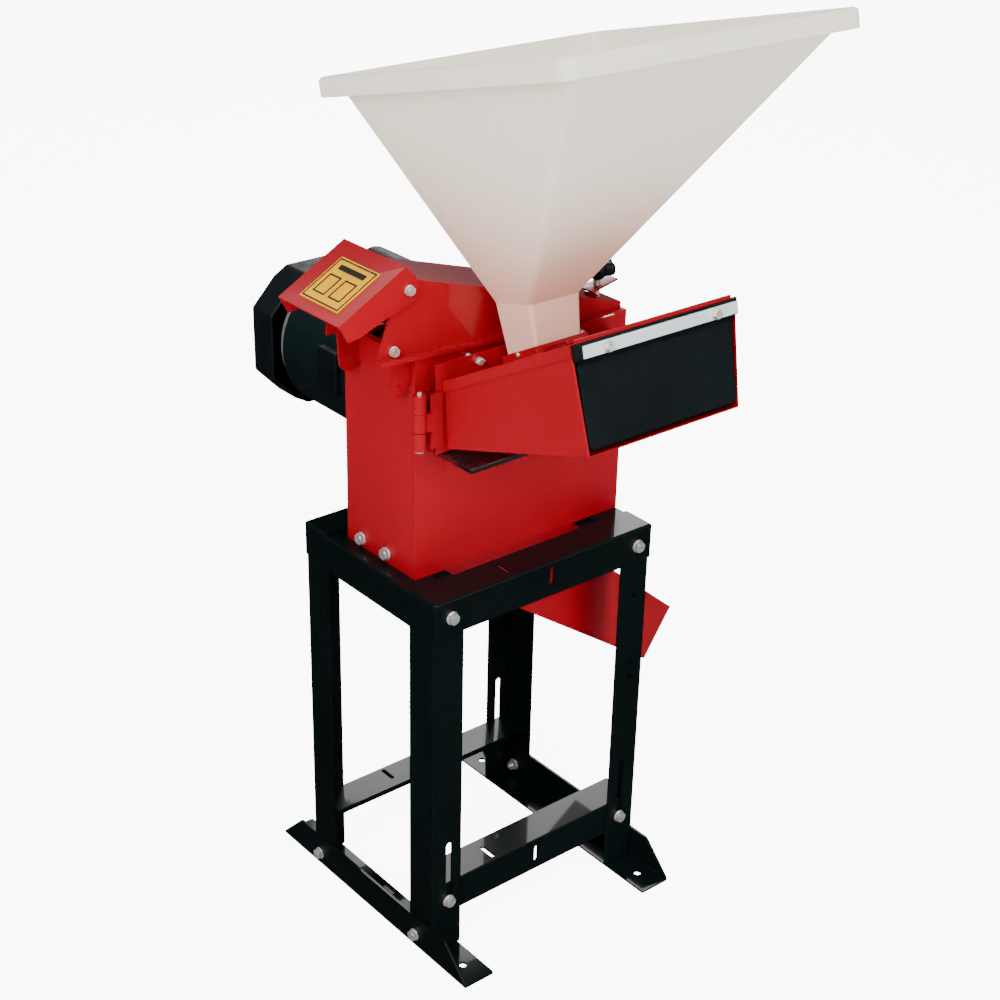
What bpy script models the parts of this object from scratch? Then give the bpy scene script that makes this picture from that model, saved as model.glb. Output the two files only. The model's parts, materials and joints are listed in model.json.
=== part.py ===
"""Electric forage and grain crusher on a bolted steel stand.

Metres, +Z up.  The chute side faces -Y, the motor is at +Y, the lower spout leaves at +X.
Shapes are written from the middle of the stand; the root empty then moves the whole machine
so that the middle of its bounding box stands over the origin, with the floor at Z = 0.
"""

import bmesh
import bpy
from math import cos, pi, radians, sin, sqrt, tan
from mathutils import Matrix, Vector

# ---- driving dimensions -------------------------------------------------------------------
GAP = 0.0003                    # kept between pieces that touch
SHEET = 0.0025                  # red sheet steel

STAND_X = 0.166                 # half width over the side frames
STAND_Y = 0.1267                # half depth over the legs
STAND_TOP = 0.500
ANGLE = 0.045                   # leg of the steel angle
WALL = 0.003                    # its thickness
SKID_Y = 0.196                  # half length of a skid
M8 = 0.004

HOUSE_X = (-0.1455, 0.165)
HOUSE_Y = (-0.065, 0.0675)
HOUSE_Z = STAND_TOP - WALL      # it stands on the side frames' top flanges
LID_SLOPE = 0.0487              # fall of the lid joint towards +X
LID_JOINT = 0.7647              # height of that joint at X = 0

AXIS_Z = 0.653                  # rotor and motor axis, along Y at X = 0
SHAFT = 0.010
PLATE_R = 0.082
PIN_R = 0.070                   # radius at which the hammer pins stand
SCREEN_R = 0.118
SHELL_R = 0.0913

DOOR_FACE = -0.0818
HINGE = Vector((-0.148, -0.0765, 0.6995))
CHUTE_X = 0.002
CHUTE_ROOT = dict(y=DOOR_FACE - GAP, low=0.6596, high=0.7428, half_high=0.1217)
MOUTH_TOP = Vector((0, -0.2775, 0.8468))
MOUTH_LOW = Vector((0, -0.3041, 0.7303))
MOUTH_HALF = (0.1084, 0.1171)   # half width at the lower and upper edge
CHUTE_SHEET = 0.002

HOPPER_TILT = radians(-13.88)
HOPPER_CENTRE = Vector((-0.0047, -0.1563, 1.1070))
HOPPER_HALF = (0.1949, 0.1994)
HOPPER_WALL = 0.004
NECK_DEPTH = 0.2655
NECK_OFFSET = 0.1238            # the neck stands this far behind the middle of the rim
NECK_HALF = (0.0365, 0.0312)
FOOT = Vector((-0.0047, -0.1165, 0))
FOOT_HALF = (0.0325, 0.0270)

DEFLECTOR_PIVOT = Vector((-0.1533, -0.0085, 0.8494))
KNOB = Vector((0.133, -0.046, 0.0))

SPOUT_HALF = 0.060
SPOUT_BOTTOM_END = Vector((0.237, 0, 0.2475))
SPOUT_TOP_END = Vector((0.280, 0, 0.312))

FINISHES = {                    # colour, metallic, roughness
    "red_paint": ((0.55, 0.010, 0.016), 0.0, 0.25),
    "black_paint": ((0.008, 0.020, 0.022), 0.0, 0.30),
    "motor_paint": ((0.012, 0.045, 0.050), 0.0, 0.35),
    "black_plastic": ((0.012, 0.012, 0.013), 0.0, 0.45),
    "hopper_plastic": ((0.83, 0.74, 0.66), 0.0, 0.45),
    "rubber": ((0.006, 0.008, 0.010), 0.0, 0.60),
    "aluminium": ((0.72, 0.76, 0.78), 1.0, 0.35),
    "zinc": ((0.70, 0.70, 0.66), 1.0, 0.35),
    "steel": ((0.45, 0.45, 0.45), 1.0, 0.40),
    "tool_steel": ((0.30, 0.30, 0.31), 1.0, 0.35),
    "cast_aluminium": ((0.35, 0.36, 0.37), 1.0, 0.55),
    "label_yellow": ((0.85, 0.52, 0.02), 0.0, 0.40),
}


# ---- shape tools --------------------------------------------------------------------------
def finish_mesh(bm):
    """Close a bmesh into a mesh with its faces pointing out."""
    bmesh.ops.remove_doubles(bm, verts=bm.verts, dist=1e-7)
    bmesh.ops.recalc_face_normals(bm, faces=bm.faces)
    mesh = bpy.data.meshes.new("shape")
    bm.to_mesh(mesh)
    bm.free()
    return mesh


def loft(loops, ring=False):
    """Join equal loops of points into a solid; a ring closes on its first loop."""
    bm = bmesh.new()
    rows = [[bm.verts.new(point) for point in loop] for loop in loops]
    count = len(rows[0])
    pairs = list(zip(rows, rows[1:]))
    if ring:
        pairs.append((rows[-1], rows[0]))
    else:
        bm.faces.new(rows[0])
        bm.faces.new(rows[-1])
    for low, high in pairs:
        for i in range(count):
            j = (i + 1) % count
            bm.faces.new((low[i], low[j], high[j], high[i]))
    return finish_mesh(bm)


def prism(axis, low, high, outline):
    """Extrude an outline along an axis; its points are the other two coordinates."""
    def place(level, a, b):
        point = {"X": (level, a, b), "Y": (a, level, b), "Z": (a, b, level)}[axis]
        return Vector(point)
    return loft([[place(level, a, b) for a, b in outline] for level in (low, high)])


def box(low, high):
    outline = [(low[0], low[1]), (high[0], low[1]), (high[0], high[1]), (low[0], high[1])]
    return prism("Z", low[2], high[2], outline)


def turned(profile, origin, direction, sides, ring=False, phase=0.0):
    """Turn a profile of (radius, distance) about the line from origin along direction."""
    way = Vector(direction).normalized()
    across = way.orthogonal().normalized()
    beside = way.cross(across)
    loops = []
    for radius, distance in profile:
        loop = []
        for i in range(sides):
            angle = phase + 2 * pi * i / sides
            rim = across * cos(angle) + beside * sin(angle)
            loop.append(Vector(origin) + way * distance + rim * radius)
        loops.append(loop)
    return loft(loops, ring)


def rod(start, end, radius, sides=12):
    start = Vector(start)
    along = Vector(end) - start
    return turned([(radius, 0), (radius, along.length)], start, along, sides)


def slot(axis, centre, length, width, depth, along):
    """Cutter for a slot with round ends, through a wall square to axis."""
    half = length / 2 - width / 2
    outline = []
    for side in (1, -1):
        for i in range(5):
            angle = -pi / 2 + pi * i / 4
            if side < 0:
                angle += pi
            outline.append((side * half + width / 2 * cos(angle), width / 2 * sin(angle)))
    letters = [letter for letter in "XYZ" if letter != axis]
    if along == letters[1]:
        outline = [(-b, a) for a, b in outline]
    spots = ["XYZ".index(letter) for letter in letters]
    outline = [(centre[spots[0]] + a, centre[spots[1]] + b) for a, b in outline]
    middle = centre["XYZ".index(axis)]
    return prism(axis, middle - depth / 2, middle + depth / 2, outline)


def boolean(mesh, others, operation, solver):
    """Union with the other meshes, or cut them out."""
    scene = bpy.context.scene.collection
    base = bpy.data.objects.new("base", mesh)
    scene.objects.link(base)
    helpers = [base]
    for other in others:
        helper = bpy.data.objects.new("helper", other)
        scene.objects.link(helper)
        helpers.append(helper)
        step = base.modifiers.new("step", "BOOLEAN")
        step.operation = operation
        step.object = helper
        step.solver = solver
    graph = bpy.context.evaluated_depsgraph_get()
    result = bpy.data.meshes.new_from_object(base.evaluated_get(graph))
    for helper in helpers:
        bpy.data.objects.remove(helper)
    return result


def union(*meshes, solver="EXACT"):
    return boolean(meshes[0], meshes[1:], "UNION", solver)


def cut(mesh, *cutters, solver="EXACT"):
    return boolean(mesh, cutters, "DIFFERENCE", solver)


def through_bolt(seat, direction, grip, shank=0.0034, across_flats=0.010):
    """Hexagon bolt with its nut run up: the plates it holds lie between seat and grip."""
    corner = across_flats / sqrt(3)
    profile = [(corner, -0.004), (corner, 0), (shank, 0), (shank, grip), (corner, grip),
               (corner, grip + 0.005), (shank, grip + 0.005), (shank, grip + 0.007)]
    return turned(profile, seat, direction, 6)


def bolt_hole(spot, direction, depth=0.012, radius=0.0047):
    way = Vector(direction) * depth / 2
    return rod(Vector(spot) - way, Vector(spot) + way, radius, 8)


# ---- objects ------------------------------------------------------------------------------
bodies = {}


def clear_scene():
    for thing in list(bpy.data.objects):
        bpy.data.objects.remove(thing, do_unlink=True)


def add_body(name, pivot, parent=None):
    """Empty that carries one rigid body, at a point on its joint's axis."""
    empty = bpy.data.objects.new(name + "_body", None)
    bpy.context.scene.collection.objects.link(empty)
    base = bodies[parent]["pivot"] if parent else Vector((0, 0, 0))
    empty.location = Vector(pivot) - base
    if parent:
        empty.parent = bodies[parent]["empty"]
    bodies[name] = dict(empty=empty, pivot=Vector(pivot))


def material(name):
    found = bpy.data.materials.get(name)
    if found:
        return found
    colour, metallic, roughness = FINISHES[name]
    made = bpy.data.materials.new(name)
    made.use_nodes = True
    shader = made.node_tree.nodes["Principled BSDF"]
    shader.inputs["Base Color"].default_value = (*colour, 1)
    shader.inputs["Metallic"].default_value = metallic
    shader.inputs["Roughness"].default_value = roughness
    made.diffuse_color = (*colour, 1)
    return made


def add(name, mesh, finish, body="machine", smooth=False):
    """One sub-part: its mesh, drawn from the stand's middle, moved onto its body's pivot."""
    mesh.transform(Matrix.Translation(-bodies[body]["pivot"]))
    mesh.name = name
    mesh.materials.clear()
    mesh.materials.append(material(finish))
    thing = bpy.data.objects.new(name, mesh)
    bpy.context.scene.collection.objects.link(thing)
    thing.parent = bodies[body]["empty"]
    if smooth:
        mesh.shade_smooth()
        mesh.set_sharp_from_angle(angle=radians(35))
    return thing


# ---- stand --------------------------------------------------------------------------------
TOP_BOLT = (0.1425, 0.477)      # X and Z of the upper rail bolts
LOW_BOLT = (0.141, 0.076)
SKID_BOLTS = (-0.0956, 0.1108)
SKID_BOLT_Z = 0.0175
SIDE_BOLT_Y = (-0.045, 0.014)   # bolts from the housing into the side frames
SIDE_BOLT_X = (-0.133, 0.1435)


def side_frame(side):
    """Two legs and their top bar: one angle profile carried round with mitred corners."""
    top = STAND_TOP - WALL - GAP
    foot = WALL + GAP
    profile = [(0, 0), (ANGLE, 0), (ANGLE, WALL), (WALL, WALL), (WALL, ANGLE), (0, ANGLE)]
    loops = []
    for end, level in ((-1, 0), (-1, 1), (1, 1), (1, 0)):
        loop = []
        for inset, inward in profile:
            height = top - inset if level else foot
            loop.append(Vector((side * (STAND_X - inward), end * (STAND_Y - inset), height)))
        loops.append(loop)
    frame = loft(loops)
    cutters = []
    for end in (-1, 1):
        wall_y = end * (STAND_Y - WALL / 2)
        cutters.append(slot("Y", (side * 0.1405, wall_y, 0.1165), 0.093, 0.0094, 0.02, "Z"))
        cutters.append(bolt_hole((side * TOP_BOLT[0], wall_y, TOP_BOLT[1]), (0, 1, 0)))
        if side > 0:
            for height in (0.288, 0.309, 0.406):
                cutters.append(bolt_hole((0.1455, wall_y, height), (0, 1, 0), radius=0.0042))
    for y in SKID_BOLTS:
        cutters.append(bolt_hole((side * STAND_X, y, SKID_BOLT_Z), (1, 0, 0)))
    for y in SIDE_BOLT_Y:
        cutters.append(bolt_hole((SIDE_BOLT_X[0 if side < 0 else 1], y, top), (0, 0, 1)))
    return cut(frame, *cutters)


def rail(end, face, top, half_length, face_slot, flange_slot, bolts):
    """Angle rail along X: upright leg with its face at Y = face, top leg turned inwards."""
    inner = face - end * WALL
    tip = face - end * ANGLE
    outline = [(face, top - ANGLE), (face, top), (tip, top), (tip, top - WALL),
               (inner, top - WALL), (inner, top - ANGLE)]
    body = prism("X", -half_length, half_length, outline)
    middle = (face + inner) / 2
    cutters = [slot("Y", (face_slot[0], middle, face_slot[1]), 0.024, 0.006, 0.02, "Z")]
    flange = (flange_slot[0], end * flange_slot[1], top - WALL / 2)
    cutters.append(slot("Z", flange, 0.025, 0.006, 0.02, "Y"))
    for side in (-1, 1):
        cutters.append(bolt_hole((side * bolts[0], middle, bolts[1]), (0, 1, 0)))
    return cut(body, *cutters)


def skid(side):
    """Angle runner under two legs, its upright leg outside and both ends cut to a slope."""
    face = side * (STAND_X + GAP + WALL)
    inner = side * (STAND_X + GAP)
    slope_y = 0.154
    outline = [(-SKID_Y, 0), (SKID_Y, 0), (SKID_Y, WALL), (slope_y, ANGLE), (-slope_y, ANGLE),
               (-SKID_Y, WALL)]
    upright = prism("X", min(face, inner), max(face, inner), outline)
    tip = side * (STAND_X + GAP + WALL - ANGLE)
    base = box((min(face, tip), -SKID_Y, 0), (max(face, tip), SKID_Y, WALL))
    cutters = [bolt_hole((face, y, SKID_BOLT_Z), (1, 0, 0)) for y in SKID_BOLTS]
    for y in (-0.163, 0.163):
        cutters.append(bolt_hole((side * 0.146, y, 0), (0, 0, 1), radius=0.005))
    return cut(union(upright, base), *cutters)


def build_stand():
    add("side_frame_left", side_frame(-1), "black_paint")
    add("side_frame_right", side_frame(1), "black_paint")
    rail_face = STAND_Y + GAP + WALL
    low_face = STAND_Y - WALL - GAP
    for end, word in ((-1, "front"), (1, "rear")):
        top = rail(end, end * rail_face, STAND_TOP, STAND_X, (0.0057, 0.481), (-0.0495, 0.1064),
                   TOP_BOLT)
        add(word + "_top_rail", top, "black_paint")
        low = rail(end, end * low_face, 0.100, STAND_X - WALL - GAP, (0.002, 0.078),
                   (-0.0627, 0.105), LOW_BOLT)
        add(word + "_lower_rail", low, "black_paint")
    add("skid_left", skid(-1), "black_paint")
    add("skid_right", skid(1), "black_paint")


# ---- crusher housing ----------------------------------------------------------------------
DOOR_SCREWS = ((-0.072, 0.7555), (0.076, 0.7535))
MOTOR_BOLT = 0.046
LEFT_BOLTS = ((0.0384, 0.5085), (-0.0104, 0.5090))
LID_BOLT_Z = 0.7825


def joint_z(x):
    """Height of the sloping joint between housing and lid."""
    return LID_JOINT - LID_SLOPE * x


def sloped_block(x_low, x_high, y_low, y_high, z_low, drop=0.0):
    outline = [(x_low, z_low), (x_high, z_low), (x_high, joint_z(x_high) - drop),
               (x_low, joint_z(x_low) - drop)]
    return prism("Y", y_low, y_high, outline)


def housing():
    """Sheet box with a floor flange, an open top in front of a rear deck, and its openings."""
    left, right = HOUSE_X
    front, back = HOUSE_Y
    shell = sloped_block(left, right, front, back, HOUSE_Z)
    inside = sloped_block(left + SHEET, right - SHEET, front + SHEET, back - SHEET,
                          HOUSE_Z + SHEET, SHEET)
    top_open = box((left + SHEET, front + SHEET, 0.74), (0.148, 0.030, 0.80))
    floor_open = box((-0.117, -0.0575, 0.48), (0.115, 0.0575, 0.51))
    throat = box((-0.1188, -0.07, 0.6484), (0.1188, -0.06, 0.743))
    cutters = [inside, top_open, floor_open, throat]
    cutters.append(rod((0, 0.06, AXIS_Z), (0, 0.07, AXIS_Z), 0.024, 20))
    for x in (-MOTOR_BOLT, MOTOR_BOLT):
        for z in (-MOTOR_BOLT, MOTOR_BOLT):
            cutters.append(bolt_hole((x, back, AXIS_Z + z), (0, 1, 0)))
    for x, z in DOOR_SCREWS:
        cutters.append(bolt_hole((x, front, z), (0, 1, 0)))
    for y, z in LEFT_BOLTS:
        cutters.append(bolt_hole((left, y, z), (1, 0, 0)))
    for x in SIDE_BOLT_X:
        for y in SIDE_BOLT_Y:
            cutters.append(bolt_hole((x, y, HOUSE_Z), (0, 0, 1)))
    shell = cut(shell, *cutters, solver="MANIFOLD")
    rests = [box((x - 0.004, front + 0.001, 0.550), (x + 0.004, back - 0.001, 0.5575))
             for x in (-0.075, 0.075)]
    arc = [(0.053 + 0.011 * sin(a), 0.731 - 0.011 * cos(a))
           for a in (-pi / 2 + pi * i / 6 for i in range(7))]
    lug = prism("X", left - SHEET, left + 0.001, [(0.042, 0.748)] + arc + [(0.064, 0.748)])
    lug = cut(lug, bolt_hole((left - 0.001, 0.053, 0.732), (1, 0, 0), 0.02, 0.003))
    return union(shell, lug, knife_bracket(), *rests, solver="MANIFOLD")


def outlet_bracket():
    """Plate on the left wall with an ear at each end, inside the lid's two side plates."""
    left = HOUSE_X[0] - GAP
    plate = box((left - SHEET, -0.0571, 0.7360), (left, 0.0366, 0.7690))
    round_z = 0.7400
    arc = [(-0.162 - 0.0138 * cos(a), round_z - 0.0138 * sin(a))
           for a in (pi * i / 8 for i in range(9))]
    outline = [(-0.148, 0.7900), (-0.1785, 0.7900)] + arc
    ears = []
    for y in (-0.0571, 0.0341):
        ear = prism("Y", y, y + SHEET, outline)
        ear = cut(ear, bolt_hole((-0.1705, y, LID_BOLT_Z), (0, 1, 0), radius=0.0040),
                  bolt_hole((-0.162, y, 0.7405), (0, 1, 0), radius=0.0030))
        ears.append(ear)
    return union(plate, *ears)


def screen():
    """Perforated trough round the lower half of the rotor."""
    bm = bmesh.new()
    turns = 29
    rows = 9
    first = radians(200)
    step = radians(140) / turns
    front = -0.0612
    width = 0.1180 / rows
    grid = []
    for i in range(turns + 1):
        angle = first + step * i
        spot = (SCREEN_R * cos(angle), AXIS_Z + SCREEN_R * sin(angle))
        grid.append([bm.verts.new((spot[0], front + width * j, spot[1])) for j in range(rows + 1)])
    for i in range(turns):
        for j in range(rows):
            if i % 2 and j % 2:
                continue
            bm.faces.new((grid[i][j], grid[i][j + 1], grid[i + 1][j + 1], grid[i + 1][j]))
    bmesh.ops.recalc_face_normals(bm, faces=bm.faces)
    bm.normal_update()
    middle = Vector((0, 0, AXIS_Z))
    face = bm.faces[:][0]
    outward = face.calc_center_median() - middle
    outward.y = 0
    if face.normal.dot(outward) < 0:
        bmesh.ops.reverse_faces(bm, faces=bm.faces)
    bmesh.ops.solidify(bm, geom=bm.faces, thickness=0.002)
    return finish_mesh(bm)


def bed_knife():
    """Flat bar through the throat: shelf outside, fixed cutting edge beside the rotor."""
    outline = [(-0.130, 0.6487), (-0.0606, 0.6487), (-0.0606, 0.6545), (-0.130, 0.6545)]
    bar = prism("X", -0.1182, 0.1182, outline)
    cutters = [bolt_hole((x, -0.0735, 0.65), (0, 0, 1), 0.03, 0.0037) for x in (-0.09, 0.09)]
    return cut(bar, *cutters)


def knife_bracket():
    """Angle welded on the housing's front wall, under the bed knife."""
    wall = HOUSE_Y[0] + 0.001
    outline = [(wall, 0.626), (wall, 0.6482), (wall - 0.022, 0.6482), (wall - 0.022, 0.6457),
               (wall - 0.0035, 0.6457), (wall - 0.0035, 0.626)]
    bracket = prism("X", -0.105, 0.105, outline)
    cutters = [bolt_hole((x, -0.0735, 0.647), (0, 0, 1), 0.03, 0.0037) for x in (-0.09, 0.09)]
    return cut(bracket, *cutters)


def spout():
    """Square duct under the housing: upright at the top, then a slope out to +X."""
    top = HOUSE_Z - 0.0005
    start = Vector((-0.119, 0, top))
    corner = Vector((0.118, 0, top))
    bend = Vector((0.118, 0, 0.448))
    outline = [start, corner, bend, SPOUT_TOP_END, SPOUT_BOTTOM_END]
    outer = prism("Y", -SPOUT_HALF, SPOUT_HALF, [(p.x, p.z) for p in outline])
    low_way = (SPOUT_BOTTOM_END - start).normalized()
    low_up = Vector((-low_way.z, 0, low_way.x))
    top_way = (SPOUT_TOP_END - bend).normalized()
    top_down = Vector((top_way.z, 0, -top_way.x))
    sheet = 0.002
    over = 0.010
    inner = [start + Vector((sheet + 0.001, 0, over)),
             corner + Vector((-sheet, 0, over)),
             bend + Vector((-sheet, 0, -0.0008)),
             SPOUT_TOP_END + top_down * sheet + top_way * over,
             SPOUT_BOTTOM_END + low_up * sheet + low_way * over,
             start + Vector((sheet + 0.001, 0, 0.0003))]
    half = SPOUT_HALF - sheet
    return cut(outer, prism("Y", -half, half, [(p.x, p.z) for p in inner]))


def build_housing():
    add("housing", housing(), "red_paint")
    add("outlet_bracket", outlet_bracket(), "red_paint")
    add("screen", screen(), "steel")
    add("bed_knife", bed_knife(), "tool_steel")
    add("lower_spout", spout(), "red_paint")
    for word, (y, z) in zip(("rear", "front"), LEFT_BOLTS):
        seat = (HOUSE_X[0] - GAP, y, z)
        bolt = through_bolt(seat, (1, 0, 0), SHEET + 2 * GAP, M8 - 0.0001, 0.013)
        add("side_bolt_" + word, bolt, "zinc")


# ---- lid, deflector and lid clamp -----------------------------------------------------------
LID_FRONT = -0.060
LID_BACK = 0.0395


def lid_top(x):
    return 0.8574 - 0.301 * (x + 0.1417)


def lid():
    """Wedge-shaped hood, open below and at its left mouth, with a turned-down rim."""
    left = -0.190
    right = 0.1599
    base = 0.0005

    def base_z(x):
        return joint_z(x) + base

    mouth = [(left, base_z(left)), (-0.1893, 0.7843), (-0.1771, 0.8178), (-0.165, lid_top(-0.165))]
    outer = mouth + [(right, lid_top(right)), (right, base_z(right))]
    hood = prism("Y", LID_FRONT, LID_BACK, outer)
    inner = [(left - 0.01, base_z(left) - 0.01), (left - 0.01, 0.80), (-0.19, lid_top(-0.165) - 0.003),
             (-0.150, lid_top(-0.150) - 0.0026), (right - SHEET, lid_top(right - SHEET) - 0.0026),
             (right - SHEET, base_z(right) - 0.01)]
    hollow = prism("Y", LID_FRONT + SHEET, LID_BACK - SHEET, inner)
    rim_left = -0.192
    rim_right = 0.1610
    thick = 0.002
    rim = [(rim_left, base_z(rim_left)), (rim_right, base_z(rim_right)),
           (rim_right, base_z(rim_right) + thick), (rim_left, base_z(rim_left) + thick)]
    flange = prism("Y", -0.0690, LID_FRONT + 0.001, rim)
    lip = [(rim_left, base_z(rim_left) - 0.0035), (rim_right, base_z(rim_right) - 0.0035),
           (rim_right, base_z(rim_right) + thick), (rim_left, base_z(rim_left) + thick)]
    lip = prism("Y", -0.0690, -0.0674, lip)
    stud_tab = box((0.1195, LID_FRONT + 0.0005, lid_top(0.1215) - 0.001),
                   (0.1235, LID_FRONT + 0.020, lid_top(0.1215) + 0.004))
    body = union(cut(hood, hollow), flange, lip, stud_tab)
    bolts = [bolt_hole((-0.1705, y, LID_BOLT_Z), (0, 1, 0), 0.010, 0.0040)
             for y in (LID_FRONT, LID_BACK)]
    pivots = [bolt_hole((DEFLECTOR_PIVOT.x, y, DEFLECTOR_PIVOT.z), (0, 1, 0), 0.010, 0.0040)
              for y in (LID_FRONT, LID_BACK)]
    stud = rod((KNOB.x, KNOB.y, 0.70), (KNOB.x, KNOB.y, 0.80), 0.0044, 8)
    return cut(body, stud, *bolts, *pivots)


def deflector():
    """Chute cap at the outlet: sloping panel with two cheeks that hang on the pivot bolts."""
    near = -0.0650
    far = 0.0480
    root = (-0.1569, 0.8762)
    tip = (-0.2440, 0.8281)
    cheek = [root, tip, (-0.2321, 0.8077), (-0.2175, 0.8100), (-0.1835, 0.8233), (-0.1560, 0.8330),
             (-0.1460, 0.8348), (-0.1399, 0.8405), (-0.1395, 0.8520), (-0.1450, 0.8640)]
    plates = [prism("Y", near, near + 0.0022, cheek), prism("Y", far - 0.0022, far, cheek)]
    panel = [root, tip, (tip[0] + 0.0012, tip[1] - 0.0021), (root[0] + 0.0012, root[1] - 0.0021)]
    body = union(prism("Y", near, far, panel), *plates)
    holes = [bolt_hole((DEFLECTOR_PIVOT.x, y, DEFLECTOR_PIVOT.z), (0, 1, 0), 0.012, 0.0040)
             for y in (near, far)]
    return cut(body, *holes)


def label_plate():
    """Blank plate stuck on the deflector's panel."""
    root = Vector((-0.1569, 0, 0.8762))
    tip = Vector((-0.2440, 0, 0.8281))
    way = (tip - root).normalized()
    up = Vector((way.z, 0, -way.x))
    corners = []
    for rise in (GAP, GAP + 0.0006):
        loop = []
        for along, y in ((0.022, -0.046), (0.086, -0.046), (0.086, 0.024), (0.022, 0.024)):
            spot = root + way * along + up * rise
            loop.append(Vector((spot.x, y, spot.z)))
        corners.append(loop)
    return loft(corners)


def build_lid():
    add("lid", lid(), "red_paint")
    pivot = DEFLECTOR_PIVOT
    for word, y, way, grip in (("near", LID_FRONT, 1, 0.0064), ("far", LID_BACK, -1, 0.0064)):
        bolt = through_bolt((-0.1705, y - way * GAP, LID_BOLT_Z), (0, way, 0), grip)
        add("lid_bolt_" + word, bolt, "zinc")
    for word, y, way, grip in (("near", -0.0650, 1, 0.0085), ("far", 0.0480, -1, 0.0120)):
        bolt = through_bolt((pivot.x, y - way * GAP, pivot.z), (0, way, 0), grip)
        add("deflector_bolt_" + word, bolt, "zinc")
    add("discharge_deflector", deflector(), "red_paint", "deflector")
    add("label_plate", label_plate(), "label_yellow", "deflector")


def build_clamp():
    """Stud from the deck's front corner through the lid, tilted washer plate and star knob."""
    x, y = KNOB.x, KNOB.y
    foot_z = joint_z(x) - 0.012
    bar = box((x - 0.010, HOUSE_Y[0] + SHEET + 0.0004, foot_z - 0.004),
              (x + 0.0145, y + 0.006, foot_z))
    stud = rod((x, y, foot_z - 0.002), (x, y, 0.8120), 0.0037, 8)
    add("clamp_stud", union(bar, stud), "zinc")
    tilt = Matrix.Rotation(radians(-12), 4, "Y")
    middle = Vector((x + 0.004, y, 0.7895))
    plate = box((-0.020, -0.011, -0.0011), (0.020, 0.011, 0.0011))
    plate = cut(plate, rod((-0.004, 0, -0.01), (-0.004, 0, 0.01), 0.0046, 8))
    plate.transform(Matrix.Translation(middle) @ tilt)
    add("clamp_plate", plate, "red_paint")
    loops = []
    for level, share in ((0.7960, 0.42), (0.8000, 0.45), (0.8030, 1.0), (0.8150, 1.0), (0.8180, 0.9)):
        loop = []
        for i in range(24):
            angle = 2 * pi * i / 24
            radius = 0.0195 + 0.0025 * cos(6 * angle)
            loop.append(Vector((x + share * radius * cos(angle), y + share * radius * sin(angle),
                                level)))
        loops.append(loop)
    knob = cut(loft(loops), rod((x, y, 0.79), (x, y, 0.8135), 0.0041, 8))
    add("star_knob", knob, "black_plastic", "knob")


# ---- feed door, chute, flap and hopper --------------------------------------------------------
GATE_C = (0.0003, 0.0018)       # gate's faces, above the chute's top panel
FOOT_C = 0.0028                 # hopper's foot above it
SCREW_C = 0.0050                # holes for the hopper's screws above it
STRIP = (0.0036, 0.0168)        # flap strip's edges, down the mouth from the chute's top edge
FLAP_LEFT = CHUTE_X - 0.1155
FLAP_RIGHT = CHUTE_X + 0.1155
FLAP_PIVOT_DOWN = 0.0190        # where the rubber starts to bend, just under its strip
FLAP_BOLTS = (-0.0705, 0.0820)
FLAP_BOLT_DOWN = 0.0108


def knuckle(low, high):
    return turned([(0.008, low), (0.008, high), (0.0034, high), (0.0034, low)],
                  (HINGE.x, HINGE.y, 0), (0, 0, 1), 16, ring=True)


def door_leaf():
    """Leaf and middle knuckle, welded on the door's face beside the chute."""
    back = DOOR_FACE + 0.0005
    return union(box((-0.1375, -0.0845, 0.667), (-0.1222, back, 0.732)), knuckle(0.6886, 0.7104),
                 box((HINGE.x + 0.0045, -0.0845, 0.6886), (-0.1370, back, 0.7104)))


def build_hinge():
    x = HINGE.x
    wall = HOUSE_Y[0] - GAP
    fixed = [box((-0.1385, -0.0685, 0.667), (-0.1265, wall, 0.732))]
    for low, high in ((0.667, 0.688), (0.711, 0.732)):
        fixed.append(knuckle(low, high))
        web = box((x + 0.0045, -0.0705, low), (-0.138, wall - 0.0010, high))
        fixed.append(web)
    add("hinge_leaf_fixed", union(*fixed), "red_paint", smooth=True)
    pin = turned([(0.0055, 0.6635), (0.0055, 0.6665), (0.0030, 0.6665), (0.0030, 0.7350)],
                 (x, HINGE.y, 0), (0, 0, 1), 12)
    add("hinge_pin", pin, "zinc", smooth=True)


def cheek_half(spot):
    """Half width of the chute at a point of its cheeks, which are flat sheets."""
    root_high = Vector((0, CHUTE_ROOT["y"], CHUTE_ROOT["high"]))
    down = MOUTH_LOW - MOUTH_TOP
    out = root_high - MOUTH_TOP
    narrow = MOUTH_HALF[0] - MOUTH_HALF[1]
    widen = CHUTE_ROOT["half_high"] - MOUTH_HALF[1]
    area = down.y * out.z - down.z * out.y
    gone = spot - MOUTH_TOP
    share_down = (gone.y * out.z - gone.z * out.y) / area
    share_out = (down.y * gone.z - down.z * gone.y) / area
    return MOUTH_HALF[1] + share_down * narrow + share_out * widen


def chute_ends():
    """Lower and upper edge of the chute's side view, at its root and at its mouth."""
    root = CHUTE_ROOT
    return ((Vector((0, root["y"], root["low"])), Vector((0, root["y"], root["high"]))),
            (MOUTH_LOW, MOUTH_TOP))


def side_point(side, spot, inset=0.0):
    return Vector((CHUTE_X + side * (cheek_half(spot) - inset), spot.y, spot.z))


def feed_chute():
    """Floor and two cheeks, one bent sheet; the cheeks stop just under the top panel."""
    loops = []
    for low, high in chute_ends():
        up = (high - low).normalized()
        top = high - up * (CHUTE_SHEET + GAP)
        floor = low + up * CHUTE_SHEET
        loops.append([side_point(-1, top), side_point(-1, low), side_point(1, low),
                      side_point(1, top), side_point(1, top, CHUTE_SHEET),
                      side_point(1, floor, CHUTE_SHEET), side_point(-1, floor, CHUTE_SHEET),
                      side_point(-1, top, CHUTE_SHEET)])
    return loft(loops)


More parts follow.
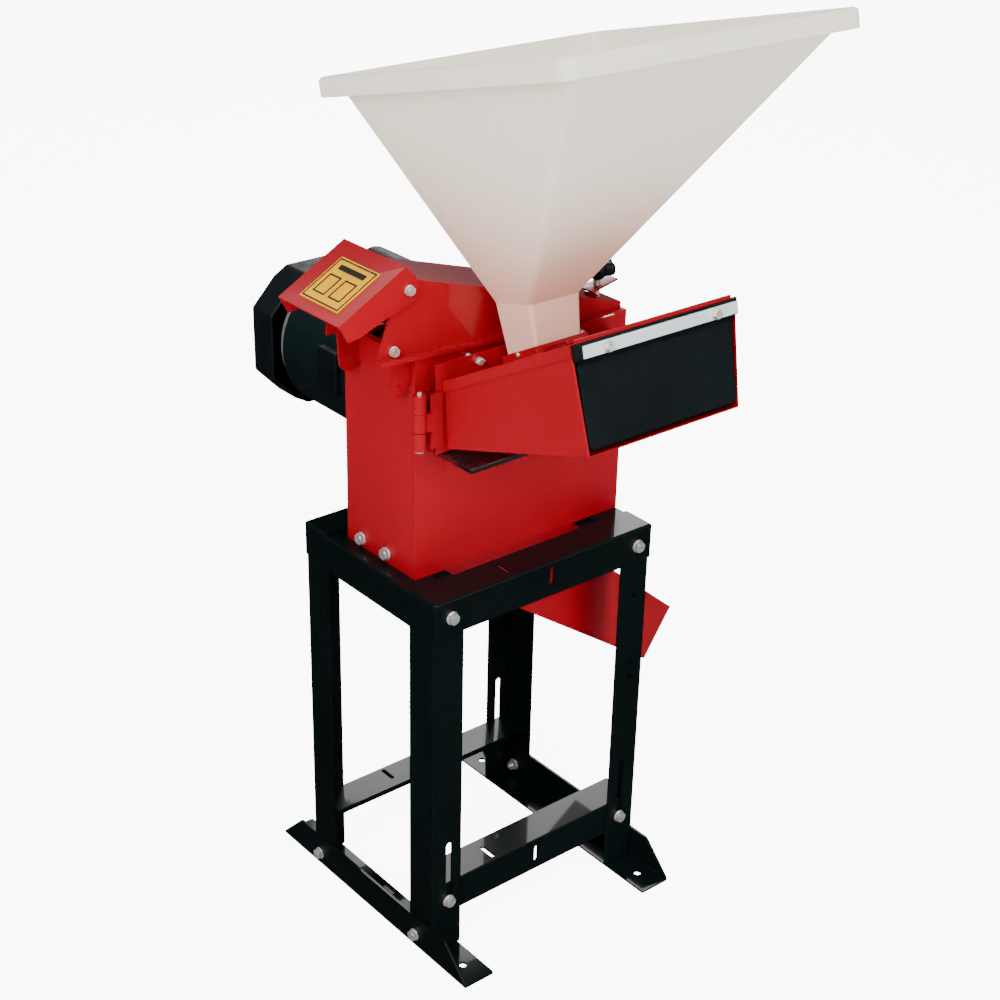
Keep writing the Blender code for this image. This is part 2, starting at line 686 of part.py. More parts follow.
def chute_top():
    """Top panel with its edges turned down outside the cheeks."""
    skirt = 0.0135
    thick = 0.0012
    loops = []
    for low, high in chute_ends():
        down = (low - high).normalized()
        edge = high + down * skirt
        under = high + down * CHUTE_SHEET
        loops.append([side_point(-1, edge, -GAP - thick), side_point(-1, high, -GAP - thick),
                      side_point(1, high, -GAP - thick), side_point(1, edge, -GAP - thick),
                      side_point(1, edge, -GAP), side_point(1, under, -GAP),
                      side_point(-1, under, -GAP), side_point(-1, edge, -GAP)])
    hole = slope_box((-0.022, 0.022), (-0.022, 0.022), (-0.01, 0.004))
    screws = []
    for side in (-1, 1):
        screws.append(rod(slope_point(side * (FOOT_HALF[0] - 0.001), 0, SCREW_C),
                          slope_point(side * (FOOT_HALF[0] + 0.010), 0, SCREW_C), 0.0018, 8))
    panel = union(loft(loops), hopper_collar(), flap_backing(), solver="MANIFOLD")
    return cut(panel, hole, *screws, solver="MANIFOLD")


def slope_frame():
    """Frame on the top panel under the hopper: X, up the slope to the mouth, and its normal."""
    run = MOUTH_TOP - Vector((0, CHUTE_ROOT["y"], CHUTE_ROOT["high"]))
    way = run.normalized()
    normal = Vector((0, way.z, -way.y))
    share = (FOOT.y - CHUTE_ROOT["y"]) / run.y
    spot = Vector((FOOT.x, FOOT.y, CHUTE_ROOT["high"] + share * run.z))
    return spot, way, normal


def slope_point(a, b, c):
    spot, way, normal = slope_frame()
    return spot + Vector((a, 0, 0)) + way * b + normal * c


def slope_box(span_a, span_b, span_c):
    loops = []
    for c in span_c:
        loops.append([slope_point(a, b, c) for a, b in
                      ((span_a[0], span_b[0]), (span_a[1], span_b[0]), (span_a[1], span_b[1]),
                       (span_a[0], span_b[1]))])
    return loft(loops)


def hopper_collar():
    """Low frame welded on the top panel: it holds the hopper's foot over the gate's channel."""
    a, b = FOOT_HALF
    body = slope_box((-a - 0.0050, a + 0.0050), (-b - 0.0036, b + 0.0064), (-0.001, 0.0082))
    seat = slope_box((-a - 0.0012, a + 0.0012), (-b - 0.0006, b + 0.0036), (0.0025, 0.02))
    channel = slope_box((-0.0245, 0.0245), (-0.0282, 0.06), (-0.002, 0.0030))
    return cut(body, seat, channel)


def hopper_gate():
    """Sliding plate under the hopper's foot with its end turned up as a pull."""
    plate = slope_box((-0.0240, 0.0240), (-0.0275, 0.0560), (GATE_C[0] + GAP, GATE_C[1]))
    pull = slope_box((-0.0120, 0.0120), (0.0545, 0.0560), (GATE_C[0] + GAP, 0.0055))
    return union(plate, pull)


def hopper_point(x, y, depth):
    """Point of the tilted hopper: x across, y from the middle to the back, depth below the rim."""
    c, s = cos(HOPPER_TILT), sin(HOPPER_TILT)
    return HOPPER_CENTRE + Vector((x, y * c + depth * s, y * s - depth * c))


def rounded(half_x, half_y, radius, centre_y=0.0, arc=3):
    """Outline of a rectangle with round corners, from the corner at +x, +y."""
    points = []
    for quarter in range(4):
        sx = 1 if quarter in (0, 3) else -1
        sy = 1 if quarter in (0, 1) else -1
        for i in range(arc + 1):
            angle = pi / 2 * (quarter + i / arc)
            points.append((sx * (half_x - radius) + radius * cos(angle),
                           centre_y + sy * (half_y - radius) + radius * sin(angle)))
    return points


def hopper():
    """Moulded funnel: flat rim with a turned-down lip, four walls, and a neck on the chute."""
    a, b = HOPPER_HALF
    wall = HOPPER_WALL
    flange = 0.015
    lip = 0.0207
    body_top = 0.0205
    neck_x, neck_y = NECK_HALF

    def ring(half_x, half_y, depth, corner, centre_y=0.0):
        outline = rounded(half_x, half_y, corner, centre_y)
        return [hopper_point(x, y, depth) for x, y in outline]

    def foot(inset):
        outline = rounded(FOOT_HALF[0] - inset, FOOT_HALF[1] - inset, 0.004 - inset / 2)
        return [slope_point(x, -y, FOOT_C) for x, y in outline]

    skin = 0.0025
    outer = [ring(a - wall, b - wall, skin + 0.001, 0.009),
             ring(a - skin, b - skin, lip, 0.012),
             ring(a, b, lip, 0.014),
             ring(a, b, 0.003, 0.014),
             ring(a - 0.003, b - 0.003, 0, 0.012),
             ring(a - flange, b - flange, 0, 0.010),
             ring(a - flange - 0.002, b - flange - 0.002, 0.006, 0.009),
             ring(a - flange - 0.010, b - flange - 0.010, body_top, 0.008),
             ring(neck_x - wall, neck_y - wall, NECK_DEPTH, 0.004, NECK_OFFSET)]
    inner_foot = foot(wall)
    outer_foot = foot(0)
    under = [ring(neck_x, neck_y, NECK_DEPTH, 0.006, NECK_OFFSET),
             ring(a - flange - 0.006, b - flange - 0.006, body_top + 0.002, 0.010),
             ring(a - flange + 0.001, b - flange + 0.001, 0.006, 0.011),
             ring(a - flange + 0.001, b - flange + 0.001, skin + 0.001, 0.011)]
    return loft(outer + [inner_foot, outer_foot] + under, ring=True)


def mouth_point(x, down, out):
    """Point at the mouth: x across, down from the top edge, out in front of the mouth plane."""
    way = (MOUTH_LOW - MOUTH_TOP).normalized()
    normal = Vector((0, way.z, -way.y))
    return Vector((x, 0, 0)) + MOUTH_TOP + way * down + normal * out


def mouth_slab(left, right, top, low, near, far):
    loops = []
    for out in (near, far):
        loops.append([mouth_point(x, down, out) for x, down in
                      ((left, top), (right, top), (right, low), (left, low))])
    return loft(loops)


def flap_hem():
    """Clamped top band of the rubber curtain, in front of the chute's turned-up edge."""
    band = mouth_slab(FLAP_LEFT, FLAP_RIGHT, 0.0022, FLAP_PIVOT_DOWN - 0.0006, GAP, 0.0035)
    return cut(band, *flap_bolt_cuts())


def flap_bolt_cuts():
    return [rod(mouth_point(x, FLAP_BOLT_DOWN, -0.02), mouth_point(x, FLAP_BOLT_DOWN, 0.02),
                0.0034, 8) for x in FLAP_BOLTS]


def flap_backing():
    """Bar along the top panel's front edge, for the strip's bolts; it stands a little above."""
    bar = mouth_slab(CHUTE_X - 0.1100, CHUTE_X + 0.1100, -0.0030, 0.0172, -0.0030, 0)
    return cut(bar, *flap_bolt_cuts())


def build_flap():
    add("flap_hem", flap_hem(), "rubber", "door")
    strip = mouth_slab(-0.1025, FLAP_RIGHT - 0.0020, *STRIP, 0.0035 + GAP, 0.0035 + 0.0025)
    strip = cut(strip, *flap_bolt_cuts())
    add("flap_strip", strip, "aluminium", "door")
    out = mouth_point(0, 0, 1) - mouth_point(0, 0, 0)
    for word, x in zip(("left", "right"), FLAP_BOLTS):
        bolt = through_bolt(mouth_point(x, FLAP_BOLT_DOWN, 0.0063), -out, 0.0096, 0.0029)
        add("flap_bolt_" + word, bolt, "zinc", "door")
    low_edge = (MOUTH_LOW - MOUTH_TOP).length - 0.007
    half_low = MOUTH_HALF[0] - CHUTE_SHEET - 0.0030
    half_high = half_low + 0.0055
    corner = 0.012
    outline = [(-half_high, FLAP_PIVOT_DOWN), (half_high, FLAP_PIVOT_DOWN)]
    for side in (1, -1):
        for i in range(5):
            angle = pi / 2 * i / 4
            if side < 0:
                angle = pi / 2 - angle
            outline.append((side * (half_low - corner + corner * cos(angle)),
                            low_edge - corner + corner * sin(angle)))
    loops = [[mouth_point(CHUTE_X + x, down, out_by) for x, down in outline]
             for out_by in (-0.0004, -0.0036)]
    add("rubber_flap", loft(loops), "rubber", "flap")


def build_door():
    plate = box((-0.129, DOOR_FACE, 0.6570), (0.130, DOOR_FACE + SHEET, 0.7636))
    collar = box((-0.1155, DOOR_FACE + 0.001, 0.6570), (0.1195, HOUSE_Y[0] - 0.0006, 0.7475))
    opening = box((-0.1125, -0.10, 0.6600), (0.1165, -0.05, 0.7400))
    holes = [bolt_hole((x, DOOR_FACE, z), (0, 1, 0), radius=0.0036) for x, z in DOOR_SCREWS]
    door = union(plate, collar, door_leaf())
    add("feed_door", cut(door, opening, *holes), "red_paint", "door")
    for word, (x, z) in zip(("left", "right"), DOOR_SCREWS):
        seat = DOOR_FACE - GAP
        stem = turned([(0.0045, -0.0065), (0.0045, 0), (0.0029, 0), (0.0029, 0.0205)],
                      (x, seat, z), (0, 1, 0), 12)
        wing = box((x - 0.0062, seat - 0.0058, z - 0.0012), (x + 0.0062, seat - 0.0018, z + 0.0012))
        add("door_screw_" + word, union(stem, wing), "zinc", "door_screw_" + word)
    add("feed_chute", feed_chute(), "red_paint", "door")
    add("chute_top", chute_top(), "red_paint", "door")
    add("hopper_gate", hopper_gate(), "red_paint", "gate")
    add("hopper", hopper(), "hopper_plastic", "door", smooth=True)


# ---- motor and rotor --------------------------------------------------------------------------
def along_y(profile, sides=28, ring=False, x=0.0, z=0.0):
    return turned([(radius, y) for radius, y in profile], (x, 0, AXIS_Z + z), (0, 1, 0), sides, ring)


def tube_y(outer, inner, front, back, sides=28):
    return along_y([(outer, front), (outer, back), (inner, back), (inner, front)], sides, True)


COWL = [(0.0975, 0.042), (0.0640, 0.077), (0.0450, 0.088)]


def cowl_outline(inset):
    points = []
    for sx, sz, order in ((1, 1, 1), (-1, 1, -1), (-1, -1, 1), (1, -1, -1)):
        for x, z in COWL[::order]:
            points.append((sx * (x - inset), sz * (z - inset * 0.9)))
    return points


def fan_cowl():
    """Octagonal cover over the fan, with a slotted end."""
    front, back = 0.2965, 0.340
    outer = [(x, AXIS_Z + z) for x, z in cowl_outline(0)]
    inner = [(x, AXIS_Z + z) for x, z in cowl_outline(0.002)]
    body = cut(prism("Y", front, back, outer), prism("Y", front - 0.01, back - 0.0025, inner))
    slots = []
    for i in range(-3, 4):
        half = 0.062 - 0.006 * abs(i)
        z = AXIS_Z + i * 0.018
        slots.append(box((-half, back - 0.01, z - 0.004), (half, back + 0.01, z + 0.004)))
    return cut(body, *slots)


def build_motor():
    add("motor_shell", tube_y(SHELL_R, SHELL_R - 0.004, 0.0815, 0.2820), "motor_paint", smooth=True)
    holes = [bolt_hole((x, 0.0745, AXIS_Z + z), (0, 1, 0), 0.03)
             for x in (-MOTOR_BOLT, MOTOR_BOLT) for z in (-MOTOR_BOLT, MOTOR_BOLT)]
    front_shield = cut(tube_y(0.0905, 0.0239, 0.0678, 0.0812), *holes, solver="MANIFOLD")
    add("front_end_shield", front_shield, "cast_aluminium", smooth=True)
    add("rear_end_shield", tube_y(0.0850, 0.0239, 0.2823, 0.2957), "cast_aluminium", smooth=True)
    for word, y in (("front", 0.0688), ("rear", 0.2833)):
        bearing = tube_y(0.0235, SHAFT + 0.0004, y, y + 0.012, 20)
        add(word + "_bearing", bearing, "steel", smooth=True)
    add("stator", tube_y(SHELL_R - 0.0046, 0.0530, 0.1300, 0.2350), "steel", smooth=True)
    add("fan_cowl", fan_cowl(), "black_plastic")
    shell_room = along_y([(SHELL_R + 2 * GAP, 0.05), (SHELL_R + 2 * GAP, 0.35)])
    dome = [(0.030 * cos(pi * i / 8), 0.760 + 0.030 * sin(pi * i / 8)) for i in range(9)]
    cover = prism("Y", 0.120, 0.215, [(0.030, 0.725)] + dome + [(-0.030, 0.725)])
    add("capacitor_cover", cut(cover, shell_room), "black_plastic")
    terminal = box((-0.0985, 0.156, 0.6350), (-0.070, 0.196, 0.6900))
    add("terminal_box", cut(terminal, shell_room), "black_plastic")
    outside = SHELL_R + 2 * GAP
    gland = turned([(0.0105, outside), (0.0105, outside + 0.0085), (0.0085, outside + 0.0120),
                    (0.0085, outside + 0.0190), (0.0040, outside + 0.0190), (0.0040, outside)],
                   (0, 0.190, AXIS_Z), (1, 0, 0), 12, True)
    add("cable_gland", gland, "black_plastic", smooth=True)


def rotor_plates():
    """Hub with a disc at each end and four riveted hammer pins between them."""
    profile = [(SHAFT + 0.0003, -0.052), (PLATE_R, -0.052), (PLATE_R, -0.047), (0.019, -0.047),
               (0.019, 0.036), (PLATE_R, 0.036), (PLATE_R, 0.041), (SHAFT + 0.0003, 0.041)]
    body = along_y(profile, 28, ring=True)
    pins = [rod((x, -0.0530, z), (x, 0.0430, z), 0.0050, 10) for x, z in pin_spots()]
    return union(body, *pins)


def pin_spots():
    spots = []
    for i in range(4):
        angle = pi / 4 + pi / 2 * i
        spots.append((PIN_R * cos(angle), AXIS_Z + PIN_R * sin(angle)))
    return spots


def hammer_set(x, z):
    """Three bars held a space apart by the sleeve that turns on their pin."""
    half = 0.011
    outline = [(-half, -0.038), (half, -0.038)]
    outline += [(half * cos(a), half * 0.75 * sin(a)) for a in (pi * i / 6 for i in range(7))]
    bars = [prism("Y", y - 0.0025, y + 0.0025, [(x + a, z + b) for a, b in outline])
            for y in (-0.030, -0.0055, 0.019)]
    sleeve = rod((x, -0.0440, z), (x, 0.0330, z), 0.0078, 10)
    return cut(union(sleeve, *bars), rod((x, -0.05, z), (x, 0.04, z), 0.0055, 10))


def build_rotor():
    shaft = along_y([(SHAFT, -0.0495), (SHAFT, 0.0825), (0.013, 0.0825), (0.013, 0.2810),
                     (SHAFT, 0.2810), (SHAFT, 0.3260)], 20)
    bore = along_y([(0.0034, -0.06), (0.0034, -0.030)], 8)
    add("motor_shaft", cut(shaft, bore), "steel", "rotor", smooth=True)
    add("rotor_core", tube_y(0.0522, 0.0134, 0.1300, 0.2350), "steel", "rotor", smooth=True)
    hub = tube_y(0.020, SHAFT + 0.0003, 0.3020, 0.3240, 20)
    blades = []
    for i in range(7):
        blade = box((0.015, 0.3030, -0.0009), (0.074, 0.3230, 0.0009))
        blade.transform(Matrix.Translation((0, 0, AXIS_Z)) @ Matrix.Rotation(2 * pi * i / 7, 4, "Y"))
        blades.append(cut(blade, tube_y(0.0185, 0.001, 0.29, 0.34, 20)))
    add("cooling_fan", union(hub, *blades), "black_plastic", "rotor")
    add("crusher_rotor", rotor_plates(), "steel", "rotor", smooth=True)
    for word, side in (("left", -1), ("right", 1)):
        outline = [(side * 0.024, -0.013), (side * 0.110, -0.013), (side * 0.110, 0.013),
                   (side * 0.024, 0.013)]
        knife = prism("Y", -0.0583, -0.0523, [(a, AXIS_Z + b) for a, b in outline])
        add("knife_" + word, knife, "tool_steel", "rotor")
    bolt = turned([(0.0075, -0.0590), (0.0075, -0.0540), (0.0160, -0.0540), (0.0160, -0.0523),
                   (0.0029, -0.0523), (0.0029, -0.0330)], (0, 0, AXIS_Z), (0, 1, 0), 12)
    add("rotor_bolt", bolt, "zinc", "rotor")
    for i, (x, z) in enumerate(pin_spots()):
        add(f"hammers_{i + 1}", hammer_set(x, z), "tool_steel", f"hammer_set_{i + 1}")


# ---- the machine --------------------------------------------------------------------------------
def build_bodies():
    add_body("machine", (0, 0, 0))
    add_body("rotor", (0, 0, AXIS_Z), "machine")
    for i, (x, z) in enumerate(pin_spots()):
        add_body(f"hammer_set_{i + 1}", (x, 0, z), "rotor")
    add_body("deflector", DEFLECTOR_PIVOT, "machine")
    add_body("knob", (KNOB.x, KNOB.y, 0.80), "machine")
    add_body("door", HINGE, "machine")
    for word, (x, z) in zip(("left", "right"), DOOR_SCREWS):
        add_body("door_screw_" + word, (x, DOOR_FACE, z), "door")
    add_body("gate", slope_point(0, 0, 0), "door")
    add_body("flap", mouth_point(CHUTE_X, FLAP_PIVOT_DOWN, -0.002), "door")


def stand_over_origin():
    """Move the root empty so the bounding box's middle is over the origin."""
    bpy.context.view_layer.update()
    corners = [thing.matrix_world @ Vector(corner) for thing in bpy.data.objects
               if thing.type == "MESH" for corner in thing.bound_box]
    shift = [-(min(c[i] for c in corners) + max(c[i] for c in corners)) / 2 for i in (0, 1)]
    bodies["machine"]["empty"].location = (shift[0], shift[1], 0)


clear_scene()
build_bodies()
build_stand()
build_housing()
build_lid()
build_clamp()
build_hinge()
build_door()
build_flap()
build_motor()
build_rotor()
stand_over_origin()
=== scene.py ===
"""Looks of the electric forage and grain crusher: bent sheet edges, fasteners, plastics and paint.

Every piece stands where the CAD frame puts it.  Shapes are placed from the middle of the stand,
which is read from the two skids' boxes.
"""

import json
from math import cos, pi, radians, sin, sqrt

import bmesh
import bpy
from mathutils import Matrix, Vector

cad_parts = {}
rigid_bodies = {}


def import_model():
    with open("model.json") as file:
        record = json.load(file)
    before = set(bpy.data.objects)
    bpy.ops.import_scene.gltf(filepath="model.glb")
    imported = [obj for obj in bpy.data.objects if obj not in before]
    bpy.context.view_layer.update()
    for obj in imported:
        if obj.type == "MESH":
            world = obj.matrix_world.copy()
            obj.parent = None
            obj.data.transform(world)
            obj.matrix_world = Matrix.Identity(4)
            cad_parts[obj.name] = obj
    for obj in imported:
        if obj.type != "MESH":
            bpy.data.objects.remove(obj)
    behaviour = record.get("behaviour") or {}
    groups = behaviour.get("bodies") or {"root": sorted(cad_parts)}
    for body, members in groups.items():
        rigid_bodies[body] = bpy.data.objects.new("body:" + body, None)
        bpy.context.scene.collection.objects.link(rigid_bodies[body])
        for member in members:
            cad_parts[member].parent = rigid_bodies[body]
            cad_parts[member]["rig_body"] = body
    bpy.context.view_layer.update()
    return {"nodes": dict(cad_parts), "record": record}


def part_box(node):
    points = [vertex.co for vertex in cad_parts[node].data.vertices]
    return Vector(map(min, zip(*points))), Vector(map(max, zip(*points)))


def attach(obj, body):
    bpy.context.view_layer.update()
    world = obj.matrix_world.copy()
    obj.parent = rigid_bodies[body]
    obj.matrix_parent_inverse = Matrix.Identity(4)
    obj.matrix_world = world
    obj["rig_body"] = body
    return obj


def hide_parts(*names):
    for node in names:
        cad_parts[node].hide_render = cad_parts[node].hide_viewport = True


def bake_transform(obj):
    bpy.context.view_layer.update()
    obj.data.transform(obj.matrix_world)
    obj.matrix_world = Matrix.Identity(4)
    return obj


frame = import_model()

LEFT_SKID, RIGHT_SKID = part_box("skid_left"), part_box("skid_right")
STAND = Vector(((LEFT_SKID[0].x + RIGHT_SKID[1].x) / 2, (LEFT_SKID[0].y + LEFT_SKID[1].y) / 2, 0))
AXIS_Z = (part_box("motor_shell")[0].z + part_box("motor_shell")[1].z) / 2
SHEET = 0.0025                    # red sheet steel
WALL = 0.003                      # steel angle of the stand
GAP = 0.0003                      # kept between CAD pieces that touch
M6, M8 = 0.006, 0.008             # thread sizes
FLATS = {M6: 0.010, M8: 0.013}    # of their heads and nuts


def at(x, y, z):
    """A point given from the middle of the stand, in the frame's own coordinates."""
    return STAND + Vector((x, y, z))


# ---- materials ----------------------------------------------------------------------------
class Surface:
    """One node-based material, built up from a few named steps."""

    def __init__(self, name, colour, roughness, metallic=0.0, **sockets):
        self.material = bpy.data.materials.new(name)
        self.material.use_nodes = True
        tree = self.material.node_tree
        self.nodes, self.links = tree.nodes, tree.links
        self.shader = self.nodes["Principled BSDF"]
        self.set("Base Color", (*colour, 1))
        self.set("Roughness", roughness)
        self.set("Metallic", metallic)
        for key, value in sockets.items():
            self.set(key.replace("_", " ").title().replace("Ior", "IOR"), value)
        self.place = self.nodes.new("ShaderNodeTexCoord").outputs["Object"]
        self.material.diffuse_color = (*colour, 1)

    def set(self, socket, value):
        self.shader.inputs[socket].default_value = value

    def noise(self, scale, detail=2.0, stretch=(1, 1, 1), rough=0.5):
        mapping = self.nodes.new("ShaderNodeMapping")
        mapping.inputs["Scale"].default_value = stretch
        texture = self.nodes.new("ShaderNodeTexNoise")
        texture.inputs["Scale"].default_value = scale
        texture.inputs["Detail"].default_value = detail
        texture.inputs["Roughness"].default_value = rough
        self.links.new(self.place, mapping.inputs["Vector"])
        self.links.new(mapping.outputs["Vector"], texture.inputs["Vector"])
        return texture.outputs["Fac"]

    def ramp(self, source, *stops):
        """Colours or grey levels at positions along a source."""
        ramp = self.nodes.new("ShaderNodeValToRGB")
        elements = ramp.color_ramp.elements
        while len(elements) < len(stops):
            elements.new(0.5)
        for element, (position, value) in zip(elements, stops):
            element.position = position
            colour = value if isinstance(value, tuple) else (value, value, value)
            element.color = (*colour, 1)
        self.links.new(source, ramp.inputs["Fac"])
        return ramp.outputs["Color"]

    def blend(self, share, first, second):
        mix = self.nodes.new("ShaderNodeMix")
        mix.data_type = "RGBA"
        for socket, value in ((mix.inputs[6], first), (mix.inputs[7], second)):
            if isinstance(value, tuple):
                socket.default_value = (*value, 1)
            else:
                self.links.new(value, socket)
        self.links.new(share, mix.inputs[0])
        return mix.outputs[2]

    def height(self, low, high, axis="Z"):
        """0 below the low level, 1 above the high one."""
        split = self.nodes.new("ShaderNodeSeparateXYZ")
        self.links.new(self.place, split.inputs[0])
        span = self.nodes.new("ShaderNodeMapRange")
        span.interpolation_type = "SMOOTHSTEP"
        span.inputs["From Min"].default_value = low
        span.inputs["From Max"].default_value = high
        self.links.new(split.outputs[axis], span.inputs["Value"])
        return span.outputs["Result"]

    def colour_from(self, source):
        self.links.new(source, self.shader.inputs["Base Color"])

    def roughness_from(self, source):
        self.links.new(source, self.shader.inputs["Roughness"])

    def bump(self, source, depth, strength=1.0):
        bump = self.nodes.new("ShaderNodeBump")
        bump.inputs["Distance"].default_value = depth
        bump.inputs["Strength"].default_value = strength
        self.links.new(source, bump.inputs["Height"])
        self.links.new(bump.outputs["Normal"], self.shader.inputs["Normal"])


def paint(name, deep, light, roughness, coat, peel=420.0):
    """Baked enamel: slight drift of colour and of gloss, and an orange-peel skin under a coat."""
    surface = Surface(name, deep, roughness, coat_weight=coat, coat_roughness=0.05,
                      specular_ior_level=0.12)
    surface.colour_from(surface.ramp(surface.noise(5.0, 2.0), (0.30, deep), (0.75, light)))
    surface.roughness_from(surface.ramp(surface.noise(24.0, 1.0), (0.2, roughness * 0.95),
                                        (0.8, roughness * 1.05)))
    surface.bump(surface.noise(peel, 1.0), 0.00003, 0.3)
    return surface.material


def plated(name, base, warm, cold, roughness):
    """Bright metal with a mottled tint and fine rubbed marks."""
    surface = Surface(name, base, roughness, 0.8)
    surface.colour_from(surface.ramp(surface.noise(160.0, 3.0), (0.30, cold), (0.52, base), (0.72, warm)))
    surface.roughness_from(surface.ramp(surface.noise(300.0, 4.0), (0.3, roughness * 0.7),
                                        (0.75, roughness * 1.5)))
    surface.bump(surface.noise(900.0, 2.0), 0.00003, 0.4)
    return surface.material


def brushed(name, base, roughness, stretch, light=1.25, metallic=1.0):
    """Metal with marks drawn out along one way."""
    surface = Surface(name, base, roughness, metallic)
    marks = surface.noise(220.0, 4.0, stretch)
    pale = tuple(min(1.0, channel * light) for channel in base)
    surface.colour_from(surface.ramp(marks, (0.3, base), (0.75, pale)))
    surface.roughness_from(surface.ramp(marks, (0.3, roughness * 0.75), (0.8, roughness * 1.35)))
    surface.bump(marks, 0.00004, 0.5)
    return surface.material


def moulded(name, deep, light, roughness, grain, depth, **sockets):
    """Plastic or rubber with a fine grain and a slow drift of tone."""
    surface = Surface(name, deep, roughness, **sockets)
    surface.colour_from(surface.ramp(surface.noise(14.0, 3.0), (0.3, deep), (0.75, light)))
    surface.roughness_from(surface.ramp(surface.noise(60.0, 3.0), (0.3, roughness * 0.85),
                                        (0.75, min(1.0, roughness * 1.2))))
    surface.bump(surface.noise(grain, 2.0), depth, 0.6)
    return surface.material


def milky_plastic():
    """Translucent cream polyethylene; the peach towards its neck is painted glow, red light from the
    housing below it.
    """
    surface = Surface("hopper_plastic", (0.94, 0.84, 0.70), 0.46, subsurface_weight=0.30,
                      subsurface_scale=0.012, specular_ior_level=0.35)
    surface.set("Subsurface Radius", (1.0, 0.62, 0.40))
    # painted glow: the peach near the neck stands in for red light from the housing, not a tint of the
    # plastic
    rise = surface.height(0.80, 1.06)
    tone_with_painted_glow = surface.ramp(rise, (0.0, (0.93, 0.55, 0.42)), (0.35, (0.94, 0.70, 0.56)),
                        (1.0, (0.96, 0.86, 0.72)))
    cloud = surface.ramp(surface.noise(5.0, 2.0), (0.35, 0.0), (0.80, 0.18))
    surface.colour_from(surface.blend(cloud, tone_with_painted_glow, (0.96, 0.88, 0.77)))
    surface.roughness_from(surface.ramp(surface.noise(18.0, 2.0), (0.3, 0.42), (0.8, 0.50)))
    surface.bump(surface.noise(90.0, 3.0), 0.00012, 0.25)
    return surface.material


def label_print():
    surface = Surface("label_yellow", (0.84, 0.42, 0.004), 0.45, specular_ior_level=0.12)
    surface.colour_from(surface.ramp(surface.noise(30.0, 3.0), (0.3, (0.82, 0.39, 0.002)),
                                     (0.8, (0.88, 0.46, 0.006))))
    surface.roughness_from(surface.ramp(surface.noise(80.0, 3.0), (0.3, 0.40), (0.8, 0.52)))
    return surface.material


MATERIALS = {
    "red_paint": paint("red_paint", (0.31, 0.0002, 0.0065), (0.37, 0.0004, 0.0090), 0.42, 0.70),
    "black_paint": paint("black_paint", (0.0012, 0.0036, 0.0038), (0.0022, 0.0056, 0.0060), 0.40, 0.22),
    "motor_paint": paint("motor_paint", (0.0012, 0.0052, 0.0062), (0.0024, 0.0080, 0.0095), 0.45, 0.25,
                         900.0),
    "black_plastic": moulded("black_plastic", (0.0012, 0.0034, 0.0044), (0.0026, 0.0054, 0.0068), 0.50,
                             1400.0, 0.00004, specular_ior_level=0.20),
    "rubber": moulded("rubber", (0.0008, 0.0032, 0.0042), (0.0018, 0.0052, 0.0066), 0.60, 700.0,
                      0.00005, specular_ior_level=0.12),
    "hopper_plastic": milky_plastic(),
    "label_yellow": label_print(),
    "zinc": plated("zinc", (0.80, 0.79, 0.74), (0.84, 0.77, 0.62), (0.74, 0.79, 0.84), 0.34),
    "steel": brushed("steel", (0.42, 0.42, 0.42), 0.36, (1.0, 0.06, 1.0)),
    "tool_steel": brushed("tool_steel", (0.28, 0.28, 0.29), 0.30, (0.06, 1.0, 1.0)),
    "aluminium": brushed("aluminium", (0.70, 0.78, 0.82), 0.48, (0.02, 1.0, 1.0), 1.06, 0.35),
    "cast_aluminium": plated("cast_aluminium", (0.34, 0.35, 0.36), (0.38, 0.38, 0.38),
                             (0.30, 0.31, 0.33), 0.55),
}
LABEL_BLACK = moulded("label_black", (0.010, 0.010, 0.010), (0.018, 0.018, 0.018), 0.35, 300.0, 0.00002)


# ---- mesh tools -----------------------------------------------------------------------------
def flat_areas(mesh):
    """Area of the flat region that each face belongs to."""
    parent = list(range(len(mesh.polygons)))

    def root(i):
        while parent[i] != i:
            parent[i] = parent[parent[i]]
            i = parent[i]
        return i

    faces_at = {}
    for face in mesh.polygons:
        for key in face.edge_keys:
            faces_at.setdefault(key, []).append(face.index)
    for pair in faces_at.values():
        if len(pair) == 2:
            one, two = (mesh.polygons[i].normal for i in pair)
            if one.dot(two) > 0.99995:
                parent[root(pair[0])] = root(pair[1])
    totals = {}
    for face in mesh.polygons:
        totals[root(face.index)] = totals.get(root(face.index), 0.0) + face.area
    return [totals[root(i)] for i in range(len(parent))]


def level_normals(mesh, nearness):
    """Corner normals that lean to the largest flat region, so wide faces look flat to their edges."""
    areas = flat_areas(mesh)
    faces_at = [[] for _ in mesh.vertices]
    for face in mesh.polygons:
        for vert in face.vertices:
            faces_at[vert].append(face.index)
    normals = []
    for face in mesh.polygons:
        for vert in face.vertices:
            total = Vector()
            for other in faces_at[vert]:
                way = mesh.polygons[other].normal
                if way.dot(face.normal) > nearness:
                    total += way * areas[other]
            normals.append(total.normalized() if total.length > 0 else face.normal)
    mesh.normals_split_custom_set(normals)


def piece(name, mesh, slot, body, replaced=(), material=None, smooth=40):
    """Make a mesh into a visible piece that rides on a body."""
    mesh.name = name
    mesh.materials.clear()
    mesh.materials.append(material or MATERIALS[slot])
    thing = bpy.data.objects.new(name, mesh)
    bpy.context.scene.collection.objects.link(thing)
    mesh.shade_smooth()
    mesh.set_sharp_from_angle(angle=radians(smooth))
    level_normals(mesh, cos(radians(smooth)))
    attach(thing, body)
    if replaced:
        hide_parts(*replaced)
    return thing


def to_mesh(bm):
    bmesh.ops.recalc_face_normals(bm, faces=bm.faces)
    mesh = bpy.data.meshes.new("shape")
    bm.to_mesh(mesh)
    bm.free()
    return mesh


def joined(*meshes):
    """Several closed shells in one mesh."""
    bm = bmesh.new()
    for mesh in meshes:
        bm.from_mesh(mesh)
        bpy.data.meshes.remove(mesh)
    return to_mesh(bm)


